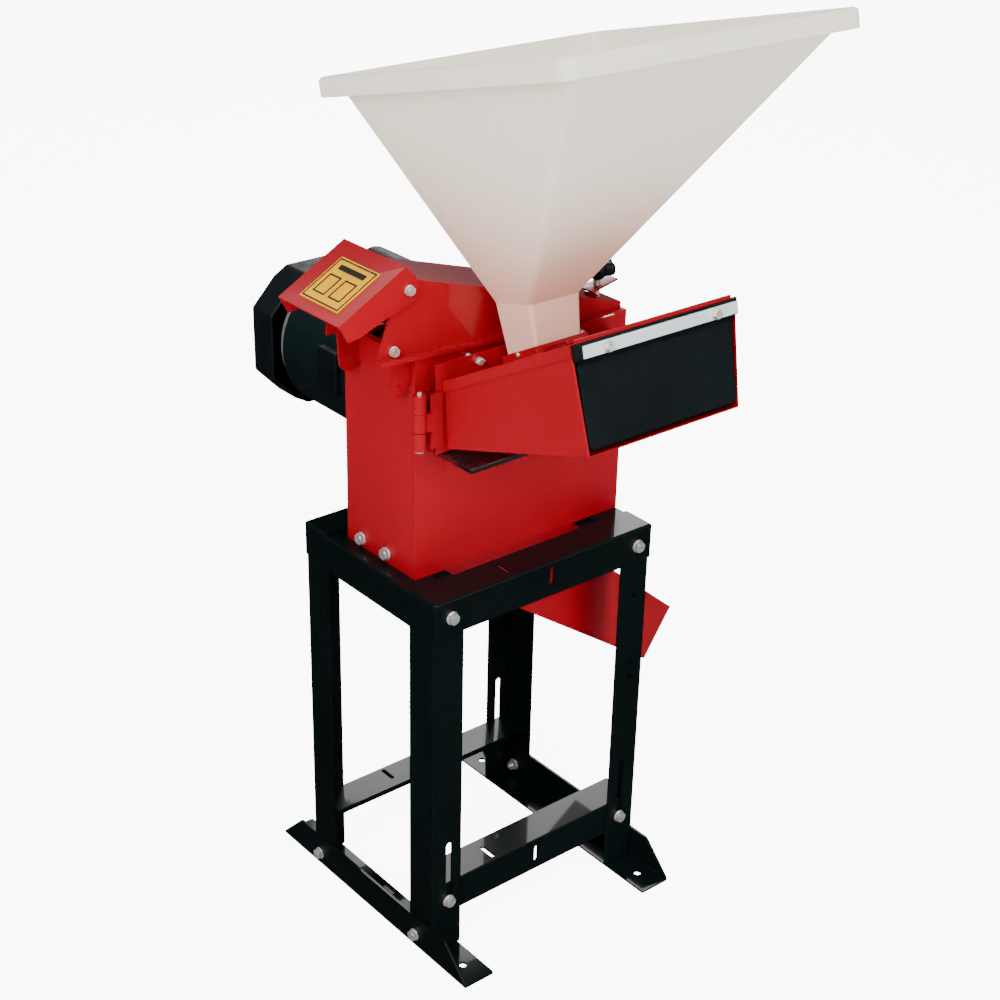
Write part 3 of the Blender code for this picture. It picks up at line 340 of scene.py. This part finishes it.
def loft(loops, ring=False):
    bm = bmesh.new()
    rows = [[bm.verts.new(point) for point in loop] for loop in loops]
    count = len(rows[0])
    pairs = list(zip(rows, rows[1:]))
    if ring:
        pairs.append((rows[-1], rows[0]))
    else:
        bm.faces.new(rows[0])
        bm.faces.new(rows[-1])
    for low, high in pairs:
        for i in range(count):
            j = (i + 1) % count
            bm.faces.new((low[i], low[j], high[j], high[i]))
    return to_mesh(bm)


def axes(direction):
    way = Vector(direction).normalized()
    across = way.orthogonal().normalized()
    return way, across, way.cross(across)


def turned(profile, origin, direction, sides=64, ring=False):
    """Turn (radius, distance) about the line from origin along direction."""
    way, across, beside = axes(direction)
    loops = []
    for radius, distance in profile:
        loops.append([Vector(origin) + way * distance
                      + (across * cos(2 * pi * i / sides) + beside * sin(2 * pi * i / sides)) * radius
                      for i in range(sides)])
    return loft(loops, ring)


def prism(axis, low, high, outline):
    def place(level, a, b):
        return at(*{"X": (level, a, b), "Y": (a, level, b), "Z": (a, b, level)}[axis])
    return loft([[place(level, a, b) for a, b in outline] for level in (low, high)])


def face_width(face, edge):
    """How far a face reaches from one of its edges."""
    start = edge.verts[0].co
    along = (edge.verts[1].co - start).normalized()
    reach = 0.0
    for vert in face.verts:
        offset = vert.co - start
        reach = max(reach, (offset - along * offset.dot(along)).length)
    return reach


def round_edges(bm, chosen, radius, segments):
    if chosen and radius > 0:
        bmesh.ops.bevel(bm, geom=chosen, offset=radius, offset_type="OFFSET", segments=segments,
                        profile=0.5, affect="EDGES", clamp_overlap=True)


def sharp_edges(bm, low=30):
    return [edge for edge in bm.edges if len(edge.link_faces) == 2
            and edge.calc_face_angle(0.0) > radians(low)]


def softened(mesh, bend=0.0, sheet=SHEET, edge=0.0004, wide=0.008, only=None):
    """Merge flat triangles, round the bends between wide faces, then ease every other edge."""
    bm = bmesh.new()
    bm.from_mesh(mesh)
    bmesh.ops.remove_doubles(bm, verts=bm.verts, dist=2e-6)
    bmesh.ops.dissolve_limit(bm, angle_limit=radians(0.5), verts=bm.verts, edges=bm.edges)
    if bend:
        groups = {True: [], False: []}
        for found in sharp_edges(bm, 20):
            if min(face_width(face, found) for face in found.link_faces) > wide:
                if only is None or only(found):
                    groups[found.is_convex].append(found)
        round_edges(bm, groups[False], max(bend - sheet, 0.0008), 3)
        outer = [found for found in groups[True] if found.is_valid]
        round_edges(bm, outer, bend, 5)
    if edge:
        fine = [found for found in sharp_edges(bm) if found.calc_length() > 3 * edge]
        round_edges(bm, fine, edge, 2)
    return to_mesh(bm)


def refined(node, bend=0.0, slot=None, smooth=40, **options):
    """Take over a CAD node with its bends and edges rounded."""
    source = frame["nodes"][node]
    slot = slot or SLOTS[node]
    return piece(node + "_skin", softened(source.data, bend, **options), slot, source["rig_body"],
                 [node], smooth=smooth)


SLOTS = {part["node"]: part["material_slot"] for part in frame["record"]["subparts"]}


# ---- fasteners ------------------------------------------------------------------------------
def hexagon(origin, direction, low, high, flats, chamfer_low=False, chamfer_high=True, sides=36):
    """Hexagon head or nut whose corners are turned off on the chosen sides."""
    way, across, beside = axes(direction)
    corner = flats / sqrt(3)
    ease = (corner - flats / 2) * 0.8
    levels = [(low + ease if chamfer_low else low, corner), (high - ease if chamfer_high else high, corner)]
    if chamfer_low:
        levels.insert(0, (low, flats / 2 * 0.97))
    if chamfer_high:
        levels.append((high, flats / 2 * 0.97))
    loops = []
    for level, limit in levels:
        loop = []
        for i in range(sides):
            angle = 2 * pi * i / sides
            inside = (angle + pi / 6) % (pi / 3) - pi / 6
            radius = min(flats / 2 / cos(inside), limit)
            loop.append(Vector(origin) + way * level + (across * cos(angle) + beside * sin(angle)) * radius)
        loops.append(loop)
    return loft(loops)


def threaded(origin, direction, radius, low, high, pitch):
    """Stud end with a ridge for each turn of its thread."""
    profile = []
    turns = max(1, int((high - low) / pitch))
    for i in range(turns):
        start = low + i * pitch
        profile += [(radius * 0.86, start), (radius, start + pitch * 0.35), (radius, start + pitch * 0.5),
                    (radius * 0.86, start + pitch * 0.85)]
    profile += [(radius * 0.80, high)]
    return turned(profile, origin, direction, 24)


def washer(origin, direction, low, high, radius, hole):
    ease = 0.0002
    return turned([(hole, low), (radius - ease, low), (radius, low + ease), (radius, high - ease),
                   (radius - ease, high), (hole, high)], origin, direction, 40, ring=True)


def bolt_mesh(seat, direction, grip, size, nut=True):
    """Hexagon bolt of one thread size: washers, head, shank, and its nut past the grip."""
    flats = FLATS[size]
    head = size * 0.66
    rim = size * 1.02
    plate = 0.0012
    radius = size / 2
    way = Vector(direction).normalized()
    shapes = [washer(seat, way, -plate, 0, rim, radius),
              hexagon(seat, -way, plate, plate + head, flats),
              turned([(radius - 0.0002, -0.0005), (radius - 0.0002, grip)], seat, way, 24)]
    if nut:
        shapes += [washer(seat, way, grip, grip + plate, rim, radius),
                   hexagon(seat, way, grip + plate, grip + plate + size * 0.8, flats, True, True),
                   threaded(seat, way, radius - 0.0001, grip + plate, grip + plate + size * 1.25, size / 6)]
    return joined(*shapes)


def bolt(name, seat, direction, grip, size, body="machine", replaced=(), nut=True):
    return piece(name, bolt_mesh(seat, direction, grip, size, nut), "zinc", body, replaced, smooth=35)


def bolt_for(node, direction, size, nut=True):
    """Detailed bolt in the place of a CAD bolt that lies along an axis."""
    head, tail = 0.004, 0.007
    low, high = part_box(node)
    way = Vector(direction)
    half = abs(way.dot((high - low) / 2))
    seat = (low + high) / 2 - way * (half - head)
    grip = 2 * half - head - tail
    bolt(node + "_set", seat, way, grip, size, frame["nodes"][node]["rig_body"], [node], nut)


TOP_BOLT = Vector((0.1425, 0.1300, 0.477))       # right rear bolt of the top rails
LOW_BOLT = Vector((0.1410, 0.1267, 0.076))       # right rear bolt of the lower rails
SKID_FACE, SKID_BOLT_Z, SKID_BOLT_Y = 0.1693, 0.0175, (-0.0956, 0.1108)
FOOT_BOLT_X, FOOT_BOLT_Y, FOOT_TOP = (-0.133, 0.1435), (-0.045, 0.014), 0.4970 + SHEET
FLANGE_BOLT, FLANGE_Y, FLANGE_GRIP = 0.046, 0.0650, 0.0160     # motor flange: half pitch, seat, grip
KNIFE_BOLT, KNIFE_GRIP = Vector((0.09, -0.0735, 0.6457)), 0.0088


def stand_fasteners():
    grip = 2 * WALL + GAP
    spots = []
    for side in (-1, 1):
        for end in (-1, 1):
            for spot in (TOP_BOLT, LOW_BOLT):
                spots.append((at(side * spot.x, end * spot.y, spot.z), (0, -end, 0)))
        for y in SKID_BOLT_Y:
            spots.append((at(side * SKID_FACE, y, SKID_BOLT_Z), (-side, 0, 0)))
    for i, (seat, way) in enumerate(spots):
        bolt(f"stand_bolt_{i + 1}", seat, way, grip, M8)
    feet = [(x, y) for x in FOOT_BOLT_X for y in FOOT_BOLT_Y]
    for i, (x, y) in enumerate(feet):
        bolt(f"housing_bolt_{i + 1}", at(x, y, FOOT_TOP), (0, 0, -1), SHEET + WALL + 2 * GAP, M8)
    pitch = (-FLANGE_BOLT, FLANGE_BOLT)
    for i, (x, z) in enumerate([(x, z) for x in pitch for z in pitch]):
        bolt(f"motor_bolt_{i + 1}", at(x, FLANGE_Y, AXIS_Z + z), (0, 1, 0), FLANGE_GRIP, M8, nut=False)
    for word, side in (("left", -1), ("right", 1)):
        seat = at(side * KNIFE_BOLT.x, KNIFE_BOLT.y, KNIFE_BOLT.z)
        bolt("knife_bolt_" + word, seat, (0, 0, 1), KNIFE_GRIP, M6, nut=False)


def machine_fasteners():
    for end in ("front", "rear"):
        bolt_for("side_bolt_" + end, (1, 0, 0), M8)
    for owner in ("lid", "deflector"):
        bolt_for(owner + "_bolt_near", (0, 1, 0), M6)
        bolt_for(owner + "_bolt_far", (0, -1, 0), M6)


# ---- stand, housing, lid ----------------------------------------------------------------------
# corners of the right black plate in the gap between front rail and side frame; it is painted shade, a dark
# sheet standing in for the shadow seen through that gap
SHADE_PLATE = ((0.0985, -0.0980, 0.4920), (0.1500, -0.0480, 0.4932))


def build_stand():
    for node in ("side_frame_left", "side_frame_right", "front_top_rail", "rear_top_rail",
                 "front_lower_rail", "rear_lower_rail", "skid_left", "skid_right"):
        refined(node, 0.0035, sheet=WALL)
    for word, side in (("left", -1), ("right", 1)):
        low, high = SHADE_PLATE
        outline = [(side * low[0], low[1]), (side * high[0], low[1]), (side * high[0], high[1]),
                   (side * low[0], high[1])]
        # black plate as painted shade, where the gap would otherwise show the lit floor
        piece("shade_plate_" + word, prism("Z", low[2], high[2], outline), "black_paint", "machine")


def build_housing():
    def upright(edge):
        way = (edge.verts[1].co - edge.verts[0].co).normalized()
        return abs(way.z) > 0.9

    refined("housing", 0.0060, only=upright)
    refined("outlet_bracket", 0.0025)
    refined("lower_spout", 0.0030, sheet=0.002)
    refined("bed_knife", edge=0.0005)
    refined("lid", 0.0040)
    refined("discharge_deflector", 0.0030)
    refined("clamp_plate", edge=0.0004)
    refined("hinge_leaf_fixed", edge=0.0004)


def label():
    """Yellow plate with a black frame and three plain bars, all without meaning."""
    low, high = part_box("label_plate")
    refined("label_plate", edge=0.0)
    corner = Vector((low.x, low.y, low.z))
    along = Vector((high.x - low.x, 0, high.z - low.z))
    length = along.length
    way = along.normalized()
    up = Vector((-way.z, 0, way.x))
    width = high.y - low.y
    top = 0.0007

    def bar(name, u0, u1, v0, v1, hole=None):
        def spot(u, v, rise):
            return corner + way * u + Vector((0, v, 0)) + up * rise
        outer = [(u0, v0), (u1, v0), (u1, v1), (u0, v1)]
        if hole is None:
            mesh = loft([[spot(u, v, rise) for u, v in outer] for rise in (top, top + 0.0002)])
        else:
            inner = [(u0 + hole, v0 + hole), (u1 - hole, v0 + hole), (u1 - hole, v1 - hole),
                     (u0 + hole, v1 - hole)]
            mesh = loft([[spot(u, v, top) for u, v in outer], [spot(u, v, top + 0.0002) for u, v in outer],
                         [spot(u, v, top + 0.0002) for u, v in inner], [spot(u, v, top) for u, v in inner]],
                        ring=True)
        piece(name, mesh, "label_yellow", "deflector", material=LABEL_BLACK)

    edge = 0.0022
    bar("label_border", edge, length - edge, edge, width - edge, 0.0018)
    bar("label_bar_top", length - 0.0165, length - 0.0095, 0.012, width - 0.012)
    bar("label_bar_left", 0.012, 0.040, width * 0.56, width * 0.86, 0.0020)
    bar("label_bar_right", 0.012, 0.040, width * 0.16, width * 0.46, 0.0020)


CLAMP_FOOT = 0.770                # where the clamp's thread starts
GRIP_RADIUS, GRIP_LOBE = 0.0192, 0.0028


def build_knob():
    low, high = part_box("star_knob")
    middle = (low + high) / 2
    profile = [(0.0, 0.30), (0.10, 0.42), (0.20, 0.44), (0.28, 0.60), (0.34, 0.90), (0.44, 0.985),
               (0.62, 1.0), (0.80, 0.985), (0.92, 0.92), (0.99, 0.78), (1.0, 0.60), (1.0, 0.30)]
    loops = []
    for share, size in profile:
        level = low.z + (high.z - low.z) * share
        lobe = GRIP_LOBE if size > 0.5 else 0.0
        loop = []
        for i in range(96):
            angle = 2 * pi * i / 96
            radius = (GRIP_RADIUS + lobe * cos(6 * angle)) * size
            loop.append(Vector((middle.x + radius * cos(angle), middle.y + radius * sin(angle), level)))
        loops.append(loop)
    piece("star_knob_grip", loft(loops), "black_plastic", "knob", ["star_knob"], smooth=60)
    refined("clamp_stud", edge=0.0004)
    foot = Vector((middle.x, middle.y, CLAMP_FOOT))
    thread = threaded(foot, (0, 0, 1), M8 / 2, 0.0, low.z - CLAMP_FOOT, 0.00125)
    piece("clamp_thread", thread, "zinc", "machine", smooth=35)


# ---- feed door, chute, flap, hopper -----------------------------------------------------------
MOUTH_TOP = Vector((0, -0.2775, 0.8468))
MOUTH_LOW = Vector((0, -0.3041, 0.7303))
CHUTE_X = 0.002
FLAP_BOLTS = (-0.0705, 0.0820)
FLAP_BOLT_DOWN = 0.0108
STRIP_OUT = 0.0060                # front face of the aluminium strip, out from the mouth's plane
HEM = (0.0010, 0.0175)            # clamped band of the rubber, down from the mouth's top edge


def mouth_point(x, down, out):
    way = (MOUTH_LOW - MOUTH_TOP).normalized()
    normal = Vector((0, way.z, -way.y))
    return at(*(Vector((x, 0, 0)) + MOUTH_TOP + way * down + normal * out))


def smooth_step(value):
    value = min(1.0, max(0.0, value))
    return value * value * (3 - 2 * value)


def flap_sheet():
    """One rubber sheet: clamped along the top, easing back between the cheeks, a little wavy."""
    thick = 0.0030
    top, low = HEM[0], 0.1130
    columns, rows = 48, 40
    radius = 0.006

    def half(down):
        clamped = 0.1155
        hanging = 0.1094 - 0.046 * max(0.0, down - 0.02)
        return clamped + (hanging - clamped) * smooth_step((down - HEM[1]) / 0.0030)

    def edge_lift(share, down):
        """How much the round lower corners shorten the sheet."""
        reach = (1 - abs(share)) * half(down)
        if reach > radius:
            return 0.0
        return radius - sqrt(max(0.0, radius ** 2 - (radius - reach) ** 2))

    faces = []
    for side in (0, 1):
        grid = []
        for j in range(rows + 1):
            row = []
            for i in range(columns + 1):
                share = 2 * i / columns - 1
                down = top + (low - top) * j / rows
                cut_back = edge_lift(share, low) * smooth_step((down - (low - 0.03)) / 0.03)
                down -= cut_back
                clamped = smooth_step((down - HEM[1]) / 0.0060)
                out = 0.0033 - 0.0042 * clamped - side * thick
                hang = max(0.0, down - 0.023) / 0.09
                out += -0.0010 * hang * sin(3.2 * share + 0.6) * (1 - 0.3 * hang)
                row.append(mouth_point(CHUTE_X + share * half(down), down, out))
            grid.append(row)
        faces.append(grid)
    bm = bmesh.new()
    verts = [[[bm.verts.new(point) for point in row] for row in grid] for grid in faces]
    for side in (0, 1):
        for j in range(rows):
            for i in range(columns):
                g = verts[side]
                bm.faces.new((g[j][i], g[j][i + 1], g[j + 1][i + 1], g[j + 1][i]))
    front, back = verts
    rim = ([(0, i) for i in range(columns)] + [(j, columns) for j in range(rows)]
           + [(rows, i) for i in range(columns, 0, -1)] + [(j, 0) for j in range(rows, 0, -1)])
    for (j, i), (k, m) in zip(rim, rim[1:] + rim[:1]):
        bm.faces.new((front[j][i], front[k][m], back[k][m], back[j][i]))
    bmesh.ops.recalc_face_normals(bm, faces=bm.faces)
    bm.normal_update()
    round_edges(bm, sharp_edges(bm, 60), 0.0006, 3)
    return to_mesh(bm)


def build_flap():
    mesh = flap_sheet()
    mesh.name = "flap_sheet"
    mesh.materials.append(MATERIALS["rubber"])
    mesh.shade_smooth()
    sheet = bpy.data.objects.new("flap_sheet", mesh)
    bpy.context.scene.collection.objects.link(sheet)
    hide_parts("flap_hem", "rubber_flap")
    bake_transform(sheet)
    refined("flap_strip", edge=0.0005)
    out = (mouth_point(0, 0, 1) - mouth_point(0, 0, 0)).normalized()
    for word, x in zip(("left", "right"), FLAP_BOLTS):
        seat = mouth_point(x, FLAP_BOLT_DOWN, STRIP_OUT + 0.0001)
        bolt("flap_bolt_" + word + "_set", seat, -out, 0.0094, M6, "door", ["flap_bolt_" + word])


def build_door():
    refined("feed_door", 0.0020, edge=0.0004)
    refined("feed_chute", 0.0025, sheet=0.002, edge=0.0004)
    refined("chute_top", edge=0.0004)
    refined("hopper_gate", edge=0.0004)
    low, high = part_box("hinge_pin")
    middle = (low + high) / 2
    pin = turned([(0.0030, 0), (0.0048, 0.0002), (0.0055, 0.0009), (0.0055, 0.0026), (0.0048, 0.0030),
                  (0.0030, 0.0030), (0.0030, 0.0700), (0.0024, 0.0712)],
                 (middle.x, middle.y, low.z), (0, 0, 1), 40)
    piece("hinge_pin_round", pin, "zinc", "machine", ["hinge_pin"])
    for word in ("left", "right"):
        wing_screw("door_screw_" + word)


def wing_screw(node):
    """Thumb screw: turned collar, shank with thread, and a flat wing."""
    low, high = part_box(node)
    middle = (low + high) / 2
    seat = Vector((middle.x, high.y - 0.0205, middle.z))
    stem = turned([(0.0020, -0.0066), (0.0040, -0.0063), (0.0046, -0.0055), (0.0046, -0.0006),
                   (0.0040, 0), (0.0029, 0)], seat, (0, 1, 0), 40)
    thread = threaded(seat, (0, 1, 0), 0.0029, -0.0005, 0.0205, 0.001)
    wing = bmesh.new()
    bmesh.ops.create_cube(wing, size=1.0)
    bmesh.ops.scale(wing, verts=wing.verts, vec=(0.0124, 0.0044, 0.0020))
    bmesh.ops.translate(wing, verts=wing.verts, vec=seat + Vector((0, -0.0038, 0)))
    round_edges(wing, list(wing.edges), 0.0007, 3)
    piece(node + "_wing", joined(stem, thread, to_mesh(wing)), "zinc", node, [node], smooth=50)


HOPPER_TILT = radians(-13.88)
HOPPER_CENTRE = Vector((-0.0047, -0.1563, 1.1070))
HOPPER_HALF = (0.1949, 0.1994)
HOPPER_WALL = 0.004
NECK = dict(depth=0.2655, offset=0.1238, half_x=0.0365, half_y=0.0312)
FOOT = Vector((-0.0047, -0.1165, 0))
FOOT_HALF = (0.0325, 0.0270)
FOOT_RISE = 0.0028
ROOT_HIGH = Vector((0, -0.0821, 0.7428))


def hopper_point(x, y, depth):
    c, s = cos(HOPPER_TILT), sin(HOPPER_TILT)
    return at(*(HOPPER_CENTRE + Vector((x, y * c + depth * s, y * s - depth * c))))


def slope_point(a, b, c):
    """Point over the chute's top panel: X, up the slope to the mouth, and off the panel."""
    run = MOUTH_TOP - ROOT_HIGH
    way = run.normalized()
    spot = Vector((FOOT.x, FOOT.y, ROOT_HIGH.z + (FOOT.y - ROOT_HIGH.y) / run.y * run.z))
    return at(*(spot + Vector((a, 0, 0)) + way * b + Vector((0, way.z, -way.y)) * c))


def rounded(half_x, half_y, radius, centre_y=0.0, arc=8):
    points = []
    for quarter in range(4):
        sx = 1 if quarter in (0, 3) else -1
        sy = 1 if quarter in (0, 1) else -1
        for i in range(arc + 1):
            angle = pi / 2 * (quarter + i / arc)
            points.append((sx * (half_x - radius) + radius * cos(angle),
                           centre_y + sy * (half_y - radius) + radius * sin(angle)))
    return points


def hopper_mesh():
    """Moulded funnel with a turned-down rim; its folds are eased as a mould eases them."""
    a, b = HOPPER_HALF
    wall, skin = HOPPER_WALL, 0.0025
    flange, lip, body_top = 0.015, 0.0207, 0.0205

    def ring(inset, depth, corner):
        return [hopper_point(x, y, depth) for x, y in rounded(a - inset, b - inset, corner)]

    def neck(inset, corner):
        outline = rounded(NECK["half_x"] - inset, NECK["half_y"] - inset, corner, NECK["offset"])
        return [hopper_point(x, y, NECK["depth"]) for x, y in outline]

    def foot(inset):
        outline = rounded(FOOT_HALF[0] - inset, FOOT_HALF[1] - inset, 0.004 - inset / 2)
        return [slope_point(x, -y, FOOT_RISE) for x, y in outline]

    def between(top, bottom, share):
        return [p.lerp(q, share) for p, q in zip(top, bottom)]

    inner_top = ring(flange + 0.010, body_top, 0.008)
    outer_top = ring(flange + 0.006, body_top + 0.002, 0.010)
    inner_neck, outer_neck = neck(wall, 0.004), neck(0, 0.006)
    levels = [i / 8 for i in range(1, 8)]
    loops = [ring(wall, skin + 0.001, 0.009), ring(skin, lip, 0.012), ring(0, lip, 0.014),
             ring(0, 0.003, 0.014), ring(0.003, 0, 0.012), ring(flange, 0, 0.010),
             ring(flange + 0.002, 0.006, 0.009), inner_top]
    loops += [between(inner_top, inner_neck, share) for share in levels]
    loops += [inner_neck, foot(wall), foot(0), outer_neck]
    loops += [between(outer_top, outer_neck, share) for share in reversed(levels)]
    loops += [outer_top, ring(flange - 0.001, 0.006, 0.011), ring(flange - 0.001, skin + 0.001, 0.011)]
    bm = bmesh.new()
    bm.from_mesh(loft(loops, ring=True))
    bm.normal_update()
    round_edges(bm, sharp_edges(bm, 22), 0.0012, 3)
    return to_mesh(bm)


def build_hopper():
    piece("hopper_funnel", hopper_mesh(), "hopper_plastic", "door", ["hopper"], smooth=60)
    for word, side in (("left", -1), ("right", 1)):
        seat = slope_point(side * 0.0376, 0, 0.0050)
        head = turned([(0.0028, 0), (0.0028, 0.0005), (0.0024, 0.0013), (0.0014, 0.0018), (0.0004, 0.0020)],
                      seat, (side, 0, 0), 32)
        shank = turned([(0.0014, 0), (0.0014, 0.0085)], seat, (-side, 0, 0), 20)
        piece("hopper_screw_" + word, joined(head, shank), "zinc", "door", smooth=50)


# ---- motor ------------------------------------------------------------------------------------
def along_y(profile, sides=96, ring=False, x=0.0, z=0.0):
    return turned(profile, at(x, 0, AXIS_Z + z), (0, 1, 0), sides, ring)


def shell_profile():
    """Outer skin with a shallow bead near each end, then back along the bore."""
    radius, bore = 0.0913, 0.0873
    front, back = 0.0815, 0.2820
    profile = [(bore, front), (radius - 0.0008, front), (radius, front + 0.0008)]
    for middle in (front + 0.013, back - 0.013):
        profile += [(radius, middle - 0.0030), (radius - 0.0012, middle - 0.0012),
                    (radius - 0.0012, middle + 0.0012), (radius, middle + 0.0030)]
    return profile + [(radius, back - 0.0008), (radius - 0.0008, back), (bore, back)]


def eased_ring(outer, inner, front, back, ease=0.0010):
    return [(inner, front), (outer - ease, front), (outer - ease * 0.3, front + ease * 0.3),
            (outer, front + ease), (outer, back - ease), (outer - ease * 0.3, back - ease * 0.3),
            (outer - ease, back), (inner, back)]


def build_motor():
    piece("motor_shell_skin", along_y(shell_profile(), ring=True), "motor_paint", "machine",
          ["motor_shell"])
    piece("rear_shield_skin", along_y(eased_ring(0.0850, 0.0239, 0.2823, 0.2957), ring=True),
          "cast_aluminium", "machine", ["rear_end_shield"])
    refined("front_end_shield", edge=0.0004)
    refined("fan_cowl", 0.0070, sheet=0.002, edge=0.0005)
    capacitor_cover()
    refined("terminal_box", 0.0030, edge=0.0005)
    cable_gland()


def capacitor_cover():
    """Round-topped cover that stands on the shell, its end faces eased."""
    half, crown, seat = 0.030, 0.760, 0.0920
    front, back = 0.120, 0.215

    def shell_height(x):
        return AXIS_Z + sqrt(seat ** 2 - x ** 2)

    dome = [(half * cos(pi * i / 24), crown + half * sin(pi * i / 24)) for i in range(25)]
    foot = [(half * x, shell_height(half * x)) for x in (-1, -0.66, -0.33, 0, 0.33, 0.66, 1)]
    bm = bmesh.new()
    bm.from_mesh(prism("Y", front, back, dome + foot))
    bm.normal_update()
    ends = [edge for edge in sharp_edges(bm, 60) if abs(edge.verts[0].co.y - edge.verts[1].co.y) < 1e-6
            and edge.verts[0].co.z > shell_height(half) + 0.001]
    round_edges(bm, ends, 0.0045, 5)
    piece("capacitor_cover_skin", to_mesh(bm), "black_plastic", "machine", ["capacitor_cover"], smooth=50)


def cable_gland():
    """Hexagon body and round clamping cap, out to the motor's right."""
    low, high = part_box("cable_gland")
    seat = Vector((low.x, (low.y + high.y) / 2, (low.z + high.z) / 2))
    bore, radius, body, reach = 0.0040, 0.0084, 0.0085, 0.0190
    nut = hexagon(seat, (1, 0, 0), 0, body, 0.0180)
    cap = turned([(bore, body), (radius, body), (radius, 0.0150), (0.0072, reach - 0.0004),
                  (0.0060, reach), (bore, reach)], seat, (1, 0, 0), 40, ring=True)
    piece("cable_gland_cap", joined(nut, cap), "black_plastic", "machine", ["cable_gland"])


def build_inside():
    """Rotor, motor core and screen keep their CAD shapes and get their finish."""
    for name, node in frame["nodes"].items():
        node.data.materials.clear()
        node.data.materials.append(MATERIALS[SLOTS[name]])
    for node in ("knife_left", "knife_right", "crusher_rotor", "rotor_bolt", "hammers_1", "hammers_2",
                 "hammers_3", "hammers_4", "screen"):
        refined(node, edge=0.0003)


# ---- studio -----------------------------------------------------------------------------------
LAMPS = (("key", (-2.6, -1.2, 2.3), 1.6, 122),       # name, place, size in metres, watts
         ("fill", (0.6, -3.0, 1.7), 1.8, 76),
         ("top", (-0.3, -0.6, 3.2), 1.8, 45),
         ("back", (2.4, 2.9, 2.6), 1.3, 60))
CAMERA_LENS, SENSOR = 66.28, 36.0
CAMERA_PLACE = Vector((-1.2499, -1.5336, 1.5225))
CAMERA_AZIMUTH = radians(-39.90)
CAMERA_ELEVATION = radians(26.63)
CAMERA_ROLL = radians(1.318)


def backdrop(name, bm, level, strength):
    """Plain surface that gives off light evenly and stays out of mirror reflections."""
    thing = bpy.data.objects.new(name, to_mesh(bm))
    bpy.context.scene.collection.objects.link(thing)
    thing.location = (0, 0, level)
    thing.visible_glossy = False
    pale = Surface(name + "_pale", (0.90, 0.90, 0.90), 0.9, emission_strength=strength)
    pale.set("Emission Color", (1, 1, 1, 1))
    pale.colour_from(pale.ramp(pale.noise(3.0, 2.0), (0.3, 0.89), (0.8, 0.91)))
    thing.data.materials.append(pale.material)
    return thing


def wide_sheet():
    grid = bmesh.new()
    bmesh.ops.create_grid(grid, x_segments=1, y_segments=1, size=30.0)
    return grid


def studio():
    """White floor and dome that only the camera sees, a dimmer sheet under the floor for the light
    from below, a soft sky and four lamps."""
    ball = bmesh.new()
    bmesh.ops.create_uvsphere(ball, u_segments=48, v_segments=24, radius=28.0)
    dome = backdrop("dome", ball, 0, 9.0)
    floor = backdrop("floor", wide_sheet(), -0.0005, 9.0)
    for thing in (dome, floor):
        thing.visible_transmission = False
        thing.visible_shadow = False
    dome.visible_diffuse = False
    floor.visible_diffuse = False
    bounce = backdrop("bounce", wide_sheet(), -0.0015, 0.45)
    bounce.visible_camera = False

    world = bpy.data.worlds.new("studio")
    world.use_nodes = True
    nodes, links = world.node_tree.nodes, world.node_tree.links
    split = nodes.new("ShaderNodeSeparateXYZ")
    links.new(nodes.new("ShaderNodeTexCoord").outputs["Generated"], split.inputs[0])
    sky = nodes.new("ShaderNodeValToRGB")
    for element, (position, level) in zip(sky.color_ramp.elements, ((0.0, 0.02), (0.35, 0.20))):
        element.position = position
        element.color = (level * 0.97, level * 0.98, level, 1)
    links.new(split.outputs["Z"], sky.inputs["Fac"])
    links.new(sky.outputs["Color"], nodes["Background"].inputs["Color"])
    bpy.context.scene.world = world

    target = STAND + Vector((0, 0, 0.6))
    for name, place, size, power in LAMPS:
        lamp = bpy.data.lights.new(name, "AREA")
        lamp.shape = "SQUARE"
        lamp.size = size
        lamp.energy = power
        light = bpy.data.objects.new(name, lamp)
        light.location = place
        light.rotation_euler = (target - Vector(place)).to_track_quat("-Z", "Y").to_euler()
        bpy.context.scene.collection.objects.link(light)


def camera():
    data = bpy.data.cameras.new("camera")
    data.lens = CAMERA_LENS
    data.sensor_width = SENSOR
    eye = bpy.data.objects.new("camera", data)
    bpy.context.scene.collection.objects.link(eye)
    level = cos(CAMERA_ELEVATION)
    look = Vector((-sin(CAMERA_AZIMUTH) * level, cos(CAMERA_AZIMUTH) * level, -sin(CAMERA_ELEVATION)))
    turn = look.to_track_quat("-Z", "Y").to_matrix().to_4x4() @ Matrix.Rotation(CAMERA_ROLL, 4, "Z")
    eye.matrix_world = Matrix.Translation(at(*CAMERA_PLACE)) @ turn
    bpy.context.scene.camera = eye


camera()
studio()
build_inside()
build_stand()
build_housing()
label()
build_knob()
build_door()
build_flap()
build_hopper()
build_motor()
stand_fasteners()
machine_fasteners()
